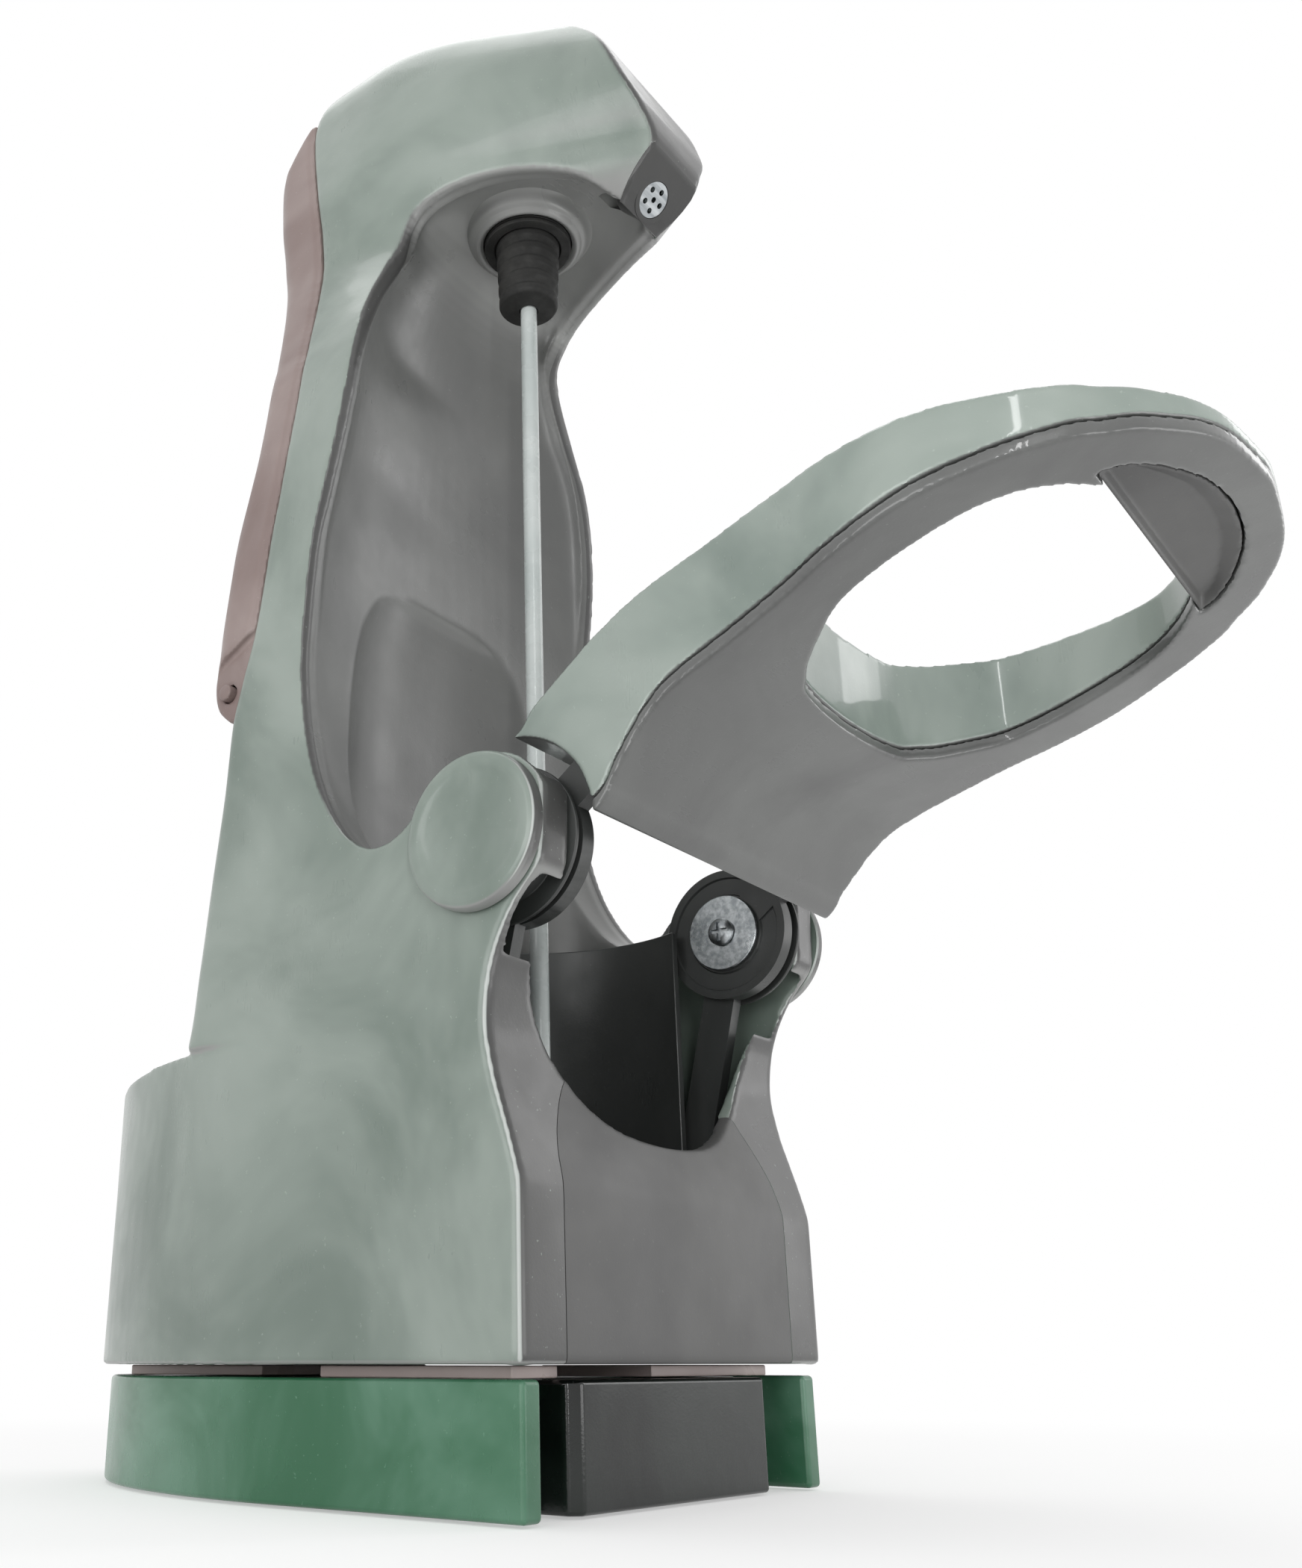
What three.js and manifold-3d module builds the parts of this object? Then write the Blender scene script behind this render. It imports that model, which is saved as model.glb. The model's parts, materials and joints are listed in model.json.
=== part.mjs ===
// A manual cider pourer. The bottle stands in a bay in front of a hooked column. Pressing the
// ring lever swings two cranks, which push a piston in the tail of the body, and the air that it
// sends up the column drives the cider up the dip tube and out of the spout in the head.
// Millimetres, +Z up, front towards -Y. The origin is the middle of the foot's underside.
import * as THREE from "three";
import { mergeVertices } from "three/addons/utils/BufferGeometryUtils.js";
import Module from "manifold-3d";

const wasm = await Module();
wasm.setup();

// Driving sizes of the body
const bodyHeight = 406;
const bodyWidth = 121;
const bodyDepth = 176;
const wall = 2.8;
const seam = 0.3;
const shadowGap = 2.4;
const overrun = 6;

// Foot
const footHeight = 25.6;
const footInset = 2.35;
const skirtThickness = 5.7;
const skirtLift = 0.6;
const footBlockWidth = 78;
const footBlockSetback = 2;
const footBlockChamfer = 2.5;
const footBlockThickness = 16;
const footPlateThickness = 3.7;
const footPostRadius = 5;
const gripMatThickness = 1.7;
const gripMatMargin = 8;
const tailLength = 106;

// Bottle bay
const cradleThickness = 2.2;
const cradleFront = 22;
const cradleRise = 2;
const platformRise = 13.9;
const platformThickness = 3;
const platformSkirtInset = 5.5;
const platformMatThickness = 2;
const platformMatInset = 4.5;
const linerThickness = 2.2;
const linerDepth = 15;
const coverWall = 2.4;
const coverGap = 0.4;
const coverCorner = 7;
const coverPinRadius = 2.2;
const coverPinReach = 6;
const coverPinProud = 0.9;
const bibMargin = 15;

// Hub, lever and cranks
const hubRadius = 18.5;
const hubCapRadius = 17.6;
const hubCapThickness = 3.6;
const hubCapEdge = 1.6;
const hubCapDish = 0.7;
const spigotRadius = 5.6;
const hubFlangeRadius = 18;
const hubFlangeThickness = 1;
const hubBarrelRadius = 13.4;
const hubBarrelBore = 10.8;
const hubBarrelFloor = 1.6;
const axleRadius = 5;
const washerRadius = 10;
const washerThickness = 1.2;
const screwHeadRadius = 3.6;
const screwHeadHeight = 1.8;
const screwShaftRadius = 1.6;
const screwSlotWidth = 1;
const screwSlotDepth = 0.8;
const screwSlotMargin = 1.1;
const runningGap = 0.09;
const crankThickness = 4.1;
const crankRingRadius = 17.4;
const crankClearance = 1.1;
const crankBarrelGap = 2.1;
const crankArmThickness = 3.6;
const crankPinRise = 2.15;
const crankArmWidth = 9;
const crankBossRadius = 6;
const crankTongueLength = 51;
const crankRestDegrees = 14;
const crankTongueDegrees = 36;
const crankPinRadius = 2.5;
const leverReach = 142;
const leverFlare = 0.9;
const leverArcRadius = 24;
const leverCoverThickness = 3;
const leverWall = 3.2;
const fingerRestRise = 1.2;
const fingerRestLip = 2.2;
const springWire = 1.2;
const springTurns = 3;
const springSteps = 8;
const springClearance = 0.1;
const springRadius = 8.6;

// Pump
const saddleRise = 10.9;
const cylinderWall = 2.2;
const cylinderEnd = 2.4;
const cylinderTailGap = 11.36;
const cylinderCapThickness = 3;
const capClearance = 1.1;
const pistonClearance = 0.5;
const pistonThickness = 8;
const pistonSetback = 2.7;
const pistonEndGap = 3.5;
const sealGroove = 2;
const rodRadius = 3;
const yokeCradleGap = 0.96;
const yokeBarDepth = 6;
const yokeBarHeight = 6;
const yokeChamfer = 4;
const yokePlateThickness = 3;
const yokePlateGap = 0.6;
const yokeCasingGap = 5.7;
const yokeSlotClearance = 0.9;
const yokeSlotRim = 4.6;
const yokeSlotDrop = 4;
const yokeSlotRise = 16;
const valveRadius = 4.6;
const valveLength = 8;
const valveSetback = 6.3;
const valveHeadroom = 5;
const valvePortRadius = 1.3;
const saddleWidth = 28;
const saddleThickness = 4;
const hoseRadius = 3;
const hoseBore = 1.7;
const hoseLead = 9;
const nippleRadius = 1.2;
const nippleLength = 5;

// Spout line
const strainerRadius = 4.9;
const strainerThickness = 1;
const strainerHoleRadius = 0.8;
const strainerHoles = 5;
const strainerRing = 3;
const strainerSetback = 0.8;
const bezelThickness = 2.4;
const bezelProud = 0.5;
const bezelLength = 18.4;
const bezelHalfWidth = 10;
const sleeveWall = 1.4;
const sleeveDepth = 9;
const spoutTubeRadius = 4;
const spoutTubeBore = 2.6;
const dipTubeRadius = 2.4;
const dipTubeBore = 1.5;
const dipTubeFoot = 12.7;
const dipTubeSocket = 6;
const stopperTipLength = 23.8;
const stopperTipRadius = 8.6;
const stopperNeckRadius = 9.6;
const stopperCollarGap = 0.8;
const stopperFlangeThickness = 6;
const stopperFlangeRadius = 13;
const stopperBodyRadius = 9;
const stopperBodyLength = 10.2;
const fittingRadius = 3.4;
const fittingLength = 3;
const collarRadius = 16.4;
const collarBore = 13.4;
const collarLength = 7.4;
const mouthSealThickness = 1.4;
const mouthSealRadius = 13;

// Places worked out from the driving sizes
const half = bodyWidth / 2;
const front = -bodyDepth / 2;
const bodyBottom = footHeight + shadowGap;
const upAt = (share) => share * bodyHeight;
const backAt = (share) => front + share * bodyDepth;
const outAt = (share) => share * half;
const leverWidth = bodyWidth + 2 * leverFlare;

// The body in plan at each height. Heights are shares of the body's height, places from front to
// back are shares of its depth, and half widths are shares of its half width.
const noseShares = [[0.069, -0.007], [0.15, -0.007], [0.1675, 0.002], [0.187, 0.016], [0.207, 0.03],
  [0.234, 0.04], [0.254, 0.035], [0.273, 0.021], [0.291, -0.003], [0.315, -0.045], [0.585, -0.057],
  [0.78, -0.04], [0.8145, -0.004], [0.845, -0.077], [0.857, -0.087], [0.877, -0.08], [0.901, -0.062],
  [0.931, -0.036], [0.958, 0.009], [0.98, 0.066], [0.994, 0.132], [1, 0.19]];
const noseWidthShares = [[0.069, 1], [0.569, 1], [0.616, 0.983], [0.677, 0.942], [0.727, 0.876],
  [0.764, 0.6], [0.79, 0.25], [0.8145, 0.03], [0.8325, 0.07], [0.85, 0.15], [0.862, 0.2],
  [0.877, 0.29], [0.901, 0.37], [0.931, 0.4], [0.958, 0.38], [0.98, 0.32], [0.994, 0.21], [1, 0.08]];
const flankWidthShares = [[0.069, 1], [0.569, 1], [0.616, 0.983], [0.677, 0.942], [0.727, 0.876],
  [0.776, 0.818], [0.825, 0.785], [0.874, 0.772], [0.916, 0.768], [0.946, 0.755], [0.963, 0.735],
  [0.975, 0.7], [0.985, 0.64], [0.993, 0.56], [0.998, 0.46], [1, 0.35]];
const tailShares = [[0.069, 0.994], [0.197, 0.989], [0.2266, 0.983], [0.234, 0.972], [0.239, 0.9375],
  [0.242, 0.852], [0.2446, 0.682], [0.247, 0.577], [0.293, 0.561], [0.35, 0.545], [0.406, 0.528],
  [0.451, 0.519], [0.48, 0.5], [0.507, 0.48], [0.557, 0.46], [0.618, 0.442], [0.685, 0.433],
  [0.756, 0.443], [0.857, 0.46], [0.924, 0.48], [0.944, 0.484], [0.957, 0.477], [0.97, 0.458],
  [0.984, 0.424], [0.994, 0.38], [1, 0.31]];
const tailRunShares = [[0.069, 0.602], [0.2266, 0.602], [0.234, 0.59], [0.239, 0.555], [0.242, 0.47],
  [0.2446, 0.3], [0.247, 0.03], [0.46, 0.02], [0.5, 0.012], [0.94, 0.012], [0.956, 0.02], [0.98, 0.06],
  [0.994, 0.12], [1, 0.13]];
const tailFlatShares = [[0.069, 0], [0.239, 0], [0.242, 0.1], [0.2446, 0.5], [0.247, 0.95], [0.94, 0.96],
  [0.956, 0.94], [0.98, 0.8], [0.994, 0.5], [1, 0.3]];
const cornerShare = 0.07;
const bendShares = [[0.069, 0.55], [0.84, 0.55], [0.88, 0.46], [0.93, 0.37], [1, 0.34]];
const longestRunShare = 0.62;
const leastNoseShare = 0.14;
const tailTopShare = 0.2446;
const tailReachShare = 0.994;
const insideLevelShare = 0.2;

// The mouth of the bay seen from the side, from behind the hub up to the tip of the spout
const mouthShares = [[0.141, 0.361], [0.174, 0.347], [0.2125, 0.341], [0.247, 0.344], [0.285, 0.358],
  [0.324, 0.385], [0.352, 0.4195], [0.368, 0.462], [0.369, 0.4995], [0.359, 0.556], [0.34, 0.598],
  [0.319, 0.6535], [0.311, 0.712], [0.315, 0.765], [0.309, 0.805], [0.286, 0.833], [0.2386, 0.846],
  [0.165, 0.8505], [0.094, 0.8475], [0.0375, 0.837], [0.0045, 0.8145]];
const spoutPlaneShares = [[0.0045, 0.8145], [-0.153, 0.8755]];

// Half widths of the window over the bib, from its foot upwards
const windowShares = [[0.1833, 0], [0.1848, 0.17], [0.1882, 0.31], [0.195, 0.43], [0.205, 0.525],
  [0.2185, 0.615], [0.238, 0.7], [0.2556, 0.75], [0.276, 0.8], [0.2956, 0.83], [0.39, 0.84]];

// The bib's side seam, from its foot up to the edge of the window
const bibShares = [[0.05, 1], [0.152, 1], [0.172, 0.975], [0.19, 0.9], [0.208, 0.785], [0.216, 0.7]];

// How deep the liner is along the mouth, as shares of its greatest depth
const linerDepthShares = [[0, 0.1], [0.12, 0.25], [0.3, 0.32], [0.38, 0.45], [0.46, 0.75], [0.54, 1],
  [0.68, 1], [0.76, 0.7], [0.9, 0.4], [1, 0.12]];
const linerStartShare = 0.035;
const linerEndShare = 0.955;

// The bottle's recess in the liner narrows over its shoulder
const shoulderShares = [[0.43, 1], [0.5, 0.97], [0.545, 0.9], [0.57, 0.8], [0.585, 0.62], [0.592, 0.4]];

// The rear cover's back, as shares of the body's height and depth
const coverShares = [[0.4557, 0.5318], [0.468, 0.5625], [0.4842, 0.5773], [0.5025, 0.5716],
  [0.5222, 0.568], [0.557, 0.557], [0.591, 0.5455], [0.6527, 0.5227], [0.7143, 0.5227],
  [0.7783, 0.541], [0.837, 0.56], [0.899, 0.572], [0.925, 0.566], [0.94, 0.548], [0.95, 0.52]];
const coverOpeningShares = { back: 0.5, from: 0.463, to: 0.925, out: 0.6 };
const coverPinShares = { back: 0.537, up: 0.4766 };

// The lever. Places are shares of its reach from the body's front, half widths are shares of its
// own half width, and heights are shares of the body's height.
const leverPlanShares = [[-0.04, 0.85], [0.12, 0.857], [0.176, 0.873], [0.2465, 0.891], [0.338, 0.9055],
  [0.4225, 0.93], [0.472, 0.9495], [0.514, 0.974], [0.556, 0.99], [0.6, 1], [0.634, 1], [0.669, 0.9886],
  [0.704, 0.967], [0.739, 0.938], [0.775, 0.9055], [0.81, 0.863], [0.845, 0.814], [0.873, 0.749],
  [0.908, 0.674], [0.937, 0.58], [0.965, 0.466], [0.986, 0.309], [1, 0.06]];
const leverHoleShares = [[0.352, 0.06], [0.356, 0.23], [0.366, 0.39], [0.384, 0.467], [0.401, 0.531],
  [0.4225, 0.586], [0.444, 0.635], [0.479, 0.708], [0.514, 0.749], [0.57, 0.7736], [0.634, 0.778],
  [0.69, 0.765], [0.722, 0.743], [0.754, 0.707], [0.782, 0.655], [0.81, 0.58], [0.845, 0.44],
  [0.87, 0.25], [0.88, 0.06]];
const leverUnderShares = [[0.03, 0.325], [0.118, 0.3377], [0.148, 0.351], [0.179, 0.3638], [0.211, 0.3756],
  [0.249, 0.3857], [0.293, 0.3924], [0.338, 0.398], [0.427, 0.4086], [0.513, 0.419], [0.594, 0.4281],
  [0.669, 0.4365], [0.739, 0.4436], [0.81, 0.4502], [0.876, 0.4562], [0.937, 0.4611], [0.984, 0.4658],
  [1.02, 0.469]];
const fingerRestShares = [[0.838, 0.57], [0.865, 0.535], [0.895, 0.45], [0.925, 0.305], [0.94, 0.18],
  [0.946, 0.04]];
const leverTopShares = [[-0.11, 0.375], [-0.0275, 0.394], [-0.006, 0.4035], [0.0211, 0.4113], [0.0775, 0.4254],
  [0.1338, 0.4377], [0.2113, 0.4483], [0.3211, 0.4589], [0.426, 0.468], [0.535, 0.4741],
  [0.683, 0.479], [0.81, 0.4805], [0.93, 0.4815], [0.985, 0.4815], [1.02, 0.4812]];

// Route of the air hose from the outlet valve up to the stopper
const hoseShares = [[0.06, 0.7, 0.214], [0.27, 0.6, 0.216], [0.4, 0.535, 0.232], [0.45, 0.51, 0.27],
  [0.46, 0.5, 0.33], [0.46, 0.484, 0.4], [0.46, 0.464, 0.455], [0.46, 0.47, 0.49],
  [0.45, 0.495, 0.54], [0.42, 0.492, 0.62], [0.4, 0.486, 0.72], [0.39, 0.488, 0.82], [0.36, 0.47, 0.89],
  [0.27, 0.4, 0.924]];
const spoutRouteShares = [[0.2, 0.916], [0.16, 0.925], [0.1, 0.915], [0.045, 0.885]];
const strainerAlongShare = 0.53;
const bezelShares = [[0, 0.04], [0.5, 0.16], [0.94, 0.44], [1, 0.66], [0.8, 0.92], [0.3, 1]];

const hubShares = { up: 0.3325, back: 0.048 };
const axisBackShare = 0.215;
const mouthRingShare = 0.84975;

// The hub, the bottle's axis and the bay. What lies beside the bay is stacked inwards from the casing.
const hubHeight = upAt(hubShares.up);
const hubBack = backAt(hubShares.back);
const axisBack = backAt(axisBackShare);
const yokePlateInnerFace = half - wall - yokeCasingGap - yokePlateThickness;
const crankArmInnerFace = yokePlateInnerFace - yokePlateGap - crankArmThickness;
const bayRadius = crankArmInnerFace - crankClearance - cradleThickness;
const crankInnerFace = bayRadius + crankClearance;
const floorTop = bodyBottom + seam + wall;
const platformTop = floorTop + platformRise;
const cradleTop = hubHeight + cradleRise;

// The stopper and its tube, from the bottle's mouth down to the bay's floor
const collarBottom = upAt(mouthRingShare);
const stopperFlange = collarBottom + stopperCollarGap;
const stopperTip = stopperFlange - stopperTipLength;
const stopperTop = stopperFlange + stopperFlangeThickness + stopperBodyLength;
const dipTubeTop = stopperTip + dipTubeSocket;
const dipTubeBottom = platformTop + seam + platformMatThickness + dipTubeFoot;

// The pump fills the tail between the body's floor and the valve under the tail's top
const valveTop = upAt(tailTopShare) - wall - valveHeadroom;
const cylinderTop = valveTop - 2 * valveRadius - seam;
const cylinderRadius = (cylinderTop - floorTop - saddleRise) / 2;
const cylinderBore = cylinderRadius - cylinderWall;
const pistonRadius = cylinderBore - pistonClearance;
const pumpHeight = floorTop + saddleRise + cylinderRadius;

// Reads a table of [place, value] rows as a smooth curve that never overshoots its rows
function follow(rows, place) {
  const last = rows.length - 1;
  if (place <= rows[0][0]) return rows[0][1];
  if (place >= rows[last][0]) return rows[last][1];
  const slopes = rows.slice(1).map((row, i) => (row[1] - rows[i][1]) / (row[0] - rows[i][0]));
  const tangent = (i) => {
    if (i === 0) return slopes[0];
    if (i === last) return slopes[last - 1];
    const product = slopes[i - 1] * slopes[i];
    return product <= 0 ? 0 : (2 * product) / (slopes[i - 1] + slopes[i]);
  };
  const i = rows.findIndex((row) => row[0] > place) - 1;
  const run = rows[i + 1][0] - rows[i][0];
  const t = (place - rows[i][0]) / run;
  const rise = (1 + 2 * t) * (1 - t) * (1 - t) * rows[i][1] + t * t * (3 - 2 * t) * rows[i + 1][1];
  return rise + run * (t * (1 - t) * (1 - t) * tangent(i) - t * t * (1 - t) * tangent(i + 1));
}

// Solids and meshes

// Turns a closed geometry into a solid that can be joined and cut
const weldTolerance = 1e-4;
function solidOf(geometry) {
  const bare = geometry.index ? geometry.toNonIndexed() : geometry.clone();
  for (const name of Object.keys(bare.attributes)) {
    if (name !== "position") bare.deleteAttribute(name);
  }
  const merged = mergeVertices(bare, weldTolerance);
  const faces = [];
  for (let i = 0; i < merged.index.count; i += 3) {
    const [a, b, c] = merged.index.array.slice(i, i + 3);
    if (a !== b && b !== c && c !== a) faces.push([a, b, c]);
  }
  const corner = (i) => new THREE.Vector3().fromBufferAttribute(merged.attributes.position, i);
  const volume = (sum, [a, b, c]) => sum + corner(a).dot(corner(b).cross(corner(c)));
  const inward = faces.reduce(volume, 0) < 0;
  const mesh = new wasm.Mesh({
    numProp: 3,
    vertProperties: new Float32Array(merged.attributes.position.array),
    triVerts: new Uint32Array(faces.flatMap((face) => (inward ? [...face].reverse() : face))),
  });
  mesh.merge();
  return new wasm.Manifold(mesh);
}

// Keeps the main body where a cut leaves a sliver beside it
const largest = (solid) => solid.decompose().reduce((a, b) => (a.volume() > b.volume() ? a : b));

function geometryOf(solid) {
  const mesh = solid.getMesh();
  const geometry = new THREE.BufferGeometry();
  geometry.setAttribute("position", new THREE.Float32BufferAttribute(mesh.vertProperties, 3));
  geometry.setIndex(Array.from(mesh.triVerts));
  return geometry;
}

// Lays a flat loop out in its own plane, turning anticlockwise
function layFlat(loop) {
  const normal = new THREE.Vector3();
  loop.forEach((p, i) => {
    const q = loop[(i + 1) % loop.length];
    normal.add(new THREE.Vector3().crossVectors(p, q));
  });
  normal.normalize();
  const along = new THREE.Vector3().subVectors(loop[1], loop[0]).normalize();
  const side = new THREE.Vector3().crossVectors(normal, along);
  return loop.map((p) => new THREE.Vector2(along.dot(p), side.dot(p)));
}

// Skins a row of closed loops of equal count, and closes its two ends
function skin(loops) {
  const count = loops[0].length;
  const positions = loops.flat().flatMap((p) => [p.x, p.y, p.z]);
  const index = [];
  for (let j = 0; j + 1 < loops.length; j += 1) {
    for (let i = 0; i < count; i += 1) {
      const a = j * count + i;
      const b = j * count + ((i + 1) % count);
      index.push(a, b, b + count, a, b + count, a + count);
    }
  }
  const close = (row, turn) => {
    for (const face of THREE.ShapeUtils.triangulateShape(layFlat(loops[row]), [])) {
      const corners = face.map((i) => row * count + i);
      index.push(...(turn ? corners.reverse() : corners));
    }
  };
  close(0, true);
  close(loops.length - 1, false);
  const geometry = new THREE.BufferGeometry();
  geometry.setAttribute("position", new THREE.Float32BufferAttribute(positions, 3));
  geometry.setIndex(index);
  return geometry;
}

const shapeOf = (points) => new THREE.Shape(points.map((p) => new THREE.Vector2(p[0], p[1])));

function extrude(shape, depth, curveSegments = 24) {
  return new THREE.ExtrudeGeometry(shape, { depth, bevelEnabled: false, curveSegments });
}

// A prism whose outline is drawn in the side view, running across the object
function acrossPrism(shape, from, to, curveSegments) {
  const geometry = extrude(shape, to - from, curveSegments);
  geometry.applyMatrix4(new THREE.Matrix4().set(0, 0, 1, from, 1, 0, 0, 0, 0, 1, 0, 0, 0, 0, 0, 1));
  return geometry;
}

// A prism whose outline is drawn in the front view, running from front to back
function depthPrism(shape, from, to, curveSegments) {
  const geometry = extrude(shape, to - from, curveSegments);
  geometry.applyMatrix4(new THREE.Matrix4().set(1, 0, 0, 0, 0, 0, -1, to, 0, 1, 0, 0, 0, 0, 0, 1));
  return geometry;
}

// A prism whose outline is drawn in plan
function uprightPrism(shape, from, to, curveSegments) {
  return extrude(shape, to - from, curveSegments).translate(0, 0, from);
}

// A turned piece. Its profile has [radius, place along the axis] points, and the axis is X, Y or Z
function turned(profile, axis, centre, segments = 22) {
  const geometry = new THREE.LatheGeometry(profile.map((p) => new THREE.Vector2(p[0], p[1])), segments);
  if (axis === "x") geometry.rotateZ(-Math.PI / 2);
  if (axis === "z") geometry.rotateX(Math.PI / 2);
  return geometry.translate(centre.x, centre.y, centre.z);
}

const rod = (radius, from, to) => [[0, from], [radius, from], [radius, to], [0, to]];
const pipe = (bore, radius, from, to) => [[bore, from], [radius, from], [radius, to], [bore, to], [bore, from]];
const at = (x, y, z) => new THREE.Vector3(x, y, z);

function box(x0, x1, y0, y1, z0, z1) {
  return new THREE.BoxGeometry(x1 - x0, y1 - y0, z1 - z0)
    .translate((x0 + x1) / 2, (y0 + y1) / 2, (z0 + z1) / 2);
}

function circleShape(radius, x, y, bore) {
  const shape = new THREE.Shape();
  shape.absarc(x, y, radius, 0, 2 * Math.PI, false);
  if (bore) {
    const hole = new THREE.Path();
    hole.absarc(x, y, bore, 0, 2 * Math.PI, true);
    shape.holes.push(hole);
  }
  return shape;
}

// The body's plan at one height, drawn smaller by the inset
const fine = { corner: 2, flank: 5, tail: 6 };
const coarse = { corner: 1, flank: 3, tail: 4 };

function planParts(height, inset) {
  const share = height / bodyHeight;
  const nose = backAt(follow(noseShares, share)) + inset;
  const tail = backAt(follow(tailShares, share)) - inset;
  const noseWidth = Math.max(outAt(follow(noseWidthShares, share)) - inset, leastNoseShare * wall);
  const flankWidth = Math.max(outAt(follow(flankWidthShares, share)) - inset, noseWidth);
  const corner = Math.min(outAt(cornerShare), noseWidth / 2);
  const tailRun = Math.min(follow(tailRunShares, share) * bodyDepth, (tail - nose) * longestRunShare);
  const bendStart = nose + corner;
  const bend = backAt(follow(bendShares, share));
  const widthAt = (back) => {
    const t = Math.max(Math.min((back - bendStart) / (bend - bendStart), 1), 0);
    return noseWidth + (flankWidth - noseWidth) * ((3 * t - t * t * t) / 2);
  };
  return { share, nose, tail, noseWidth, corner, tailRun, tailStart: tail - tailRun, bendStart, widthAt };
}

function planAt(height, inset, steps) {
  const { share, nose, tail, noseWidth, corner, tailRun, tailStart, bendStart, widthAt } =
    planParts(height, inset);
  const side = [];
  for (let i = 0; i <= steps.corner; i += 1) {
    const turn = ((i / steps.corner) * Math.PI) / 2;
    side.push([noseWidth - corner * (1 - Math.sin(turn)), nose + corner * (1 - Math.cos(turn))]);
  }
  for (let i = 1; i <= steps.flank; i += 1) {
    const back = bendStart + ((tailStart - bendStart) * i) / steps.flank;
    side.push([widthAt(back), back]);
  }
  const tailWidth = widthAt(tailStart);
  const tailFlat = follow(tailFlatShares, share) * tailWidth;
  for (let i = 1; i <= steps.tail; i += 1) {
    const turn = ((i / steps.tail) * Math.PI) / 2;
    side.push([tailFlat + (tailWidth - tailFlat) * Math.cos(turn), tailStart + tailRun * Math.sin(turn)]);
  }
  side[side.length - 1][0] = Math.max(side[side.length - 1][0], leastNoseShare * wall);
  const mirrored = side.map(([x, y]) => [-x, y]).reverse();
  return [[0, nose], ...side, [0, tail], ...mirrored].map(([x, y]) => at(x, y, height));
}

const outerLevelShares = [0.069, 0.11, 0.15, 0.1675, 0.187, 0.207, 0.2266, 0.234, 0.239, 0.242, 0.2446,
  0.247, 0.255, 0.273, 0.291, 0.315, 0.35, 0.406, 0.451, 0.48, 0.507, 0.54, 0.575, 0.616, 0.65, 0.685,
  0.72, 0.75, 0.776, 0.8, 0.8145, 0.825, 0.8375, 0.85, 0.863, 0.877, 0.89, 0.903, 0.917, 0.931, 0.944,
  0.956, 0.966, 0.975, 0.983, 0.99, 0.996, 1];
const innerLevelShares = [0.069, 0.15, 0.187, 0.2266, 0.239, 0.2446, 0.247, 0.273, 0.291, 0.35, 0.451,
  0.507, 0.575, 0.65, 0.72, 0.776, 0.8145, 0.8375, 0.863, 0.89, 0.917, 0.944, 0.966, 0.983, 0.994, 1];

function bodyLoft(inset, bottom, levelShares, steps) {
  const lift = (bodyHeight - inset - bottom) / (bodyHeight - bodyBottom);
  const loops = levelShares.map((share) => {
    const level = Math.max(upAt(share), bodyBottom);
    return planAt(level, inset, steps).map((p) => at(p.x, p.y, bottom + (level - bodyBottom) * lift));
  });
  return solidOf(skin(loops));
}

// The body's casing
const cutAcross = (rows) => rows.map(([back, up]) => [backAt(back), upAt(up)]);
const far = bodyHeight;
const mouthSteps = 30;
const earSteps = 9;
const earTurns = { from: Math.PI / 5, to: (Math.PI * 5) / 4 };
const mouthLine = new THREE.SplineCurve(cutAcross(mouthShares).map((p) => new THREE.Vector2(...p)))
  .getSpacedPoints(mouthSteps);

// Everything in front of the column and under the head, seen from the side. Its lower front
// follows the round ears that carry the hubs.
function mouthCutter() {
  const ear = [];
  for (let i = 0; i <= earSteps; i += 1) {
    const turn = earTurns.from + ((earTurns.to - earTurns.from) * i) / earSteps;
    ear.push([hubBack + hubRadius * Math.cos(turn), hubHeight + hubRadius * Math.sin(turn)]);
  }
  const spoutPlane = cutAcross(spoutPlaneShares).slice(1);
  const line = [...ear.reverse(), ...mouthLine.map((p) => [p.x, p.y]), ...spoutPlane];
  const outline = [...line, [-far, line[line.length - 1][1]], [-far, line[0][1]]];
  return solidOf(acrossPrism(shapeOf(outline), -bodyWidth, bodyWidth));
}

// The window between the hubs and the bib
function windowCutter() {
  const rise = windowShares.slice(1).map(([up, out]) => [outAt(out), upAt(up)]);
  const left = rise.map(([out, up]) => [-out, up]).reverse();
  const foot = [0, upAt(windowShares[0][0])];
  return solidOf(depthPrism(shapeOf([foot, ...rise, ...left]), -far, hubBack + hubRadius));
}

// The front panel under the window, or the larger hole that it fits in
function bibCutter(margin) {
  const out = half - bibMargin + margin;
  const rise = bibShares.map(([up, share]) => [out * share, upAt(up)]);
  const left = rise.map(([x, z]) => [-x, z]).reverse();
  const top = [0, upAt(windowShares[windowShares.length - 1][0])];
  return solidOf(depthPrism(shapeOf([...rise, top, ...left]), -far, hubBack + wall));
}

// The opening in the column's back that the rear cover closes
const coverOpeningEdge = backAt(coverOpeningShares.back) - linerDepth;

function coverOpening() {
  const out = outAt(coverOpeningShares.out);
  const [from, to] = [upAt(coverOpeningShares.from), upAt(coverOpeningShares.to)];
  return solidOf(box(-out, out, coverOpeningEdge, -front, from, to));
}

const spoutTurn = Math.atan2(
  upAt(spoutPlaneShares[1][1] - spoutPlaneShares[0][1]),
  -(spoutPlaneShares[1][0] - spoutPlaneShares[0][0]) * bodyDepth,
);

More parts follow.
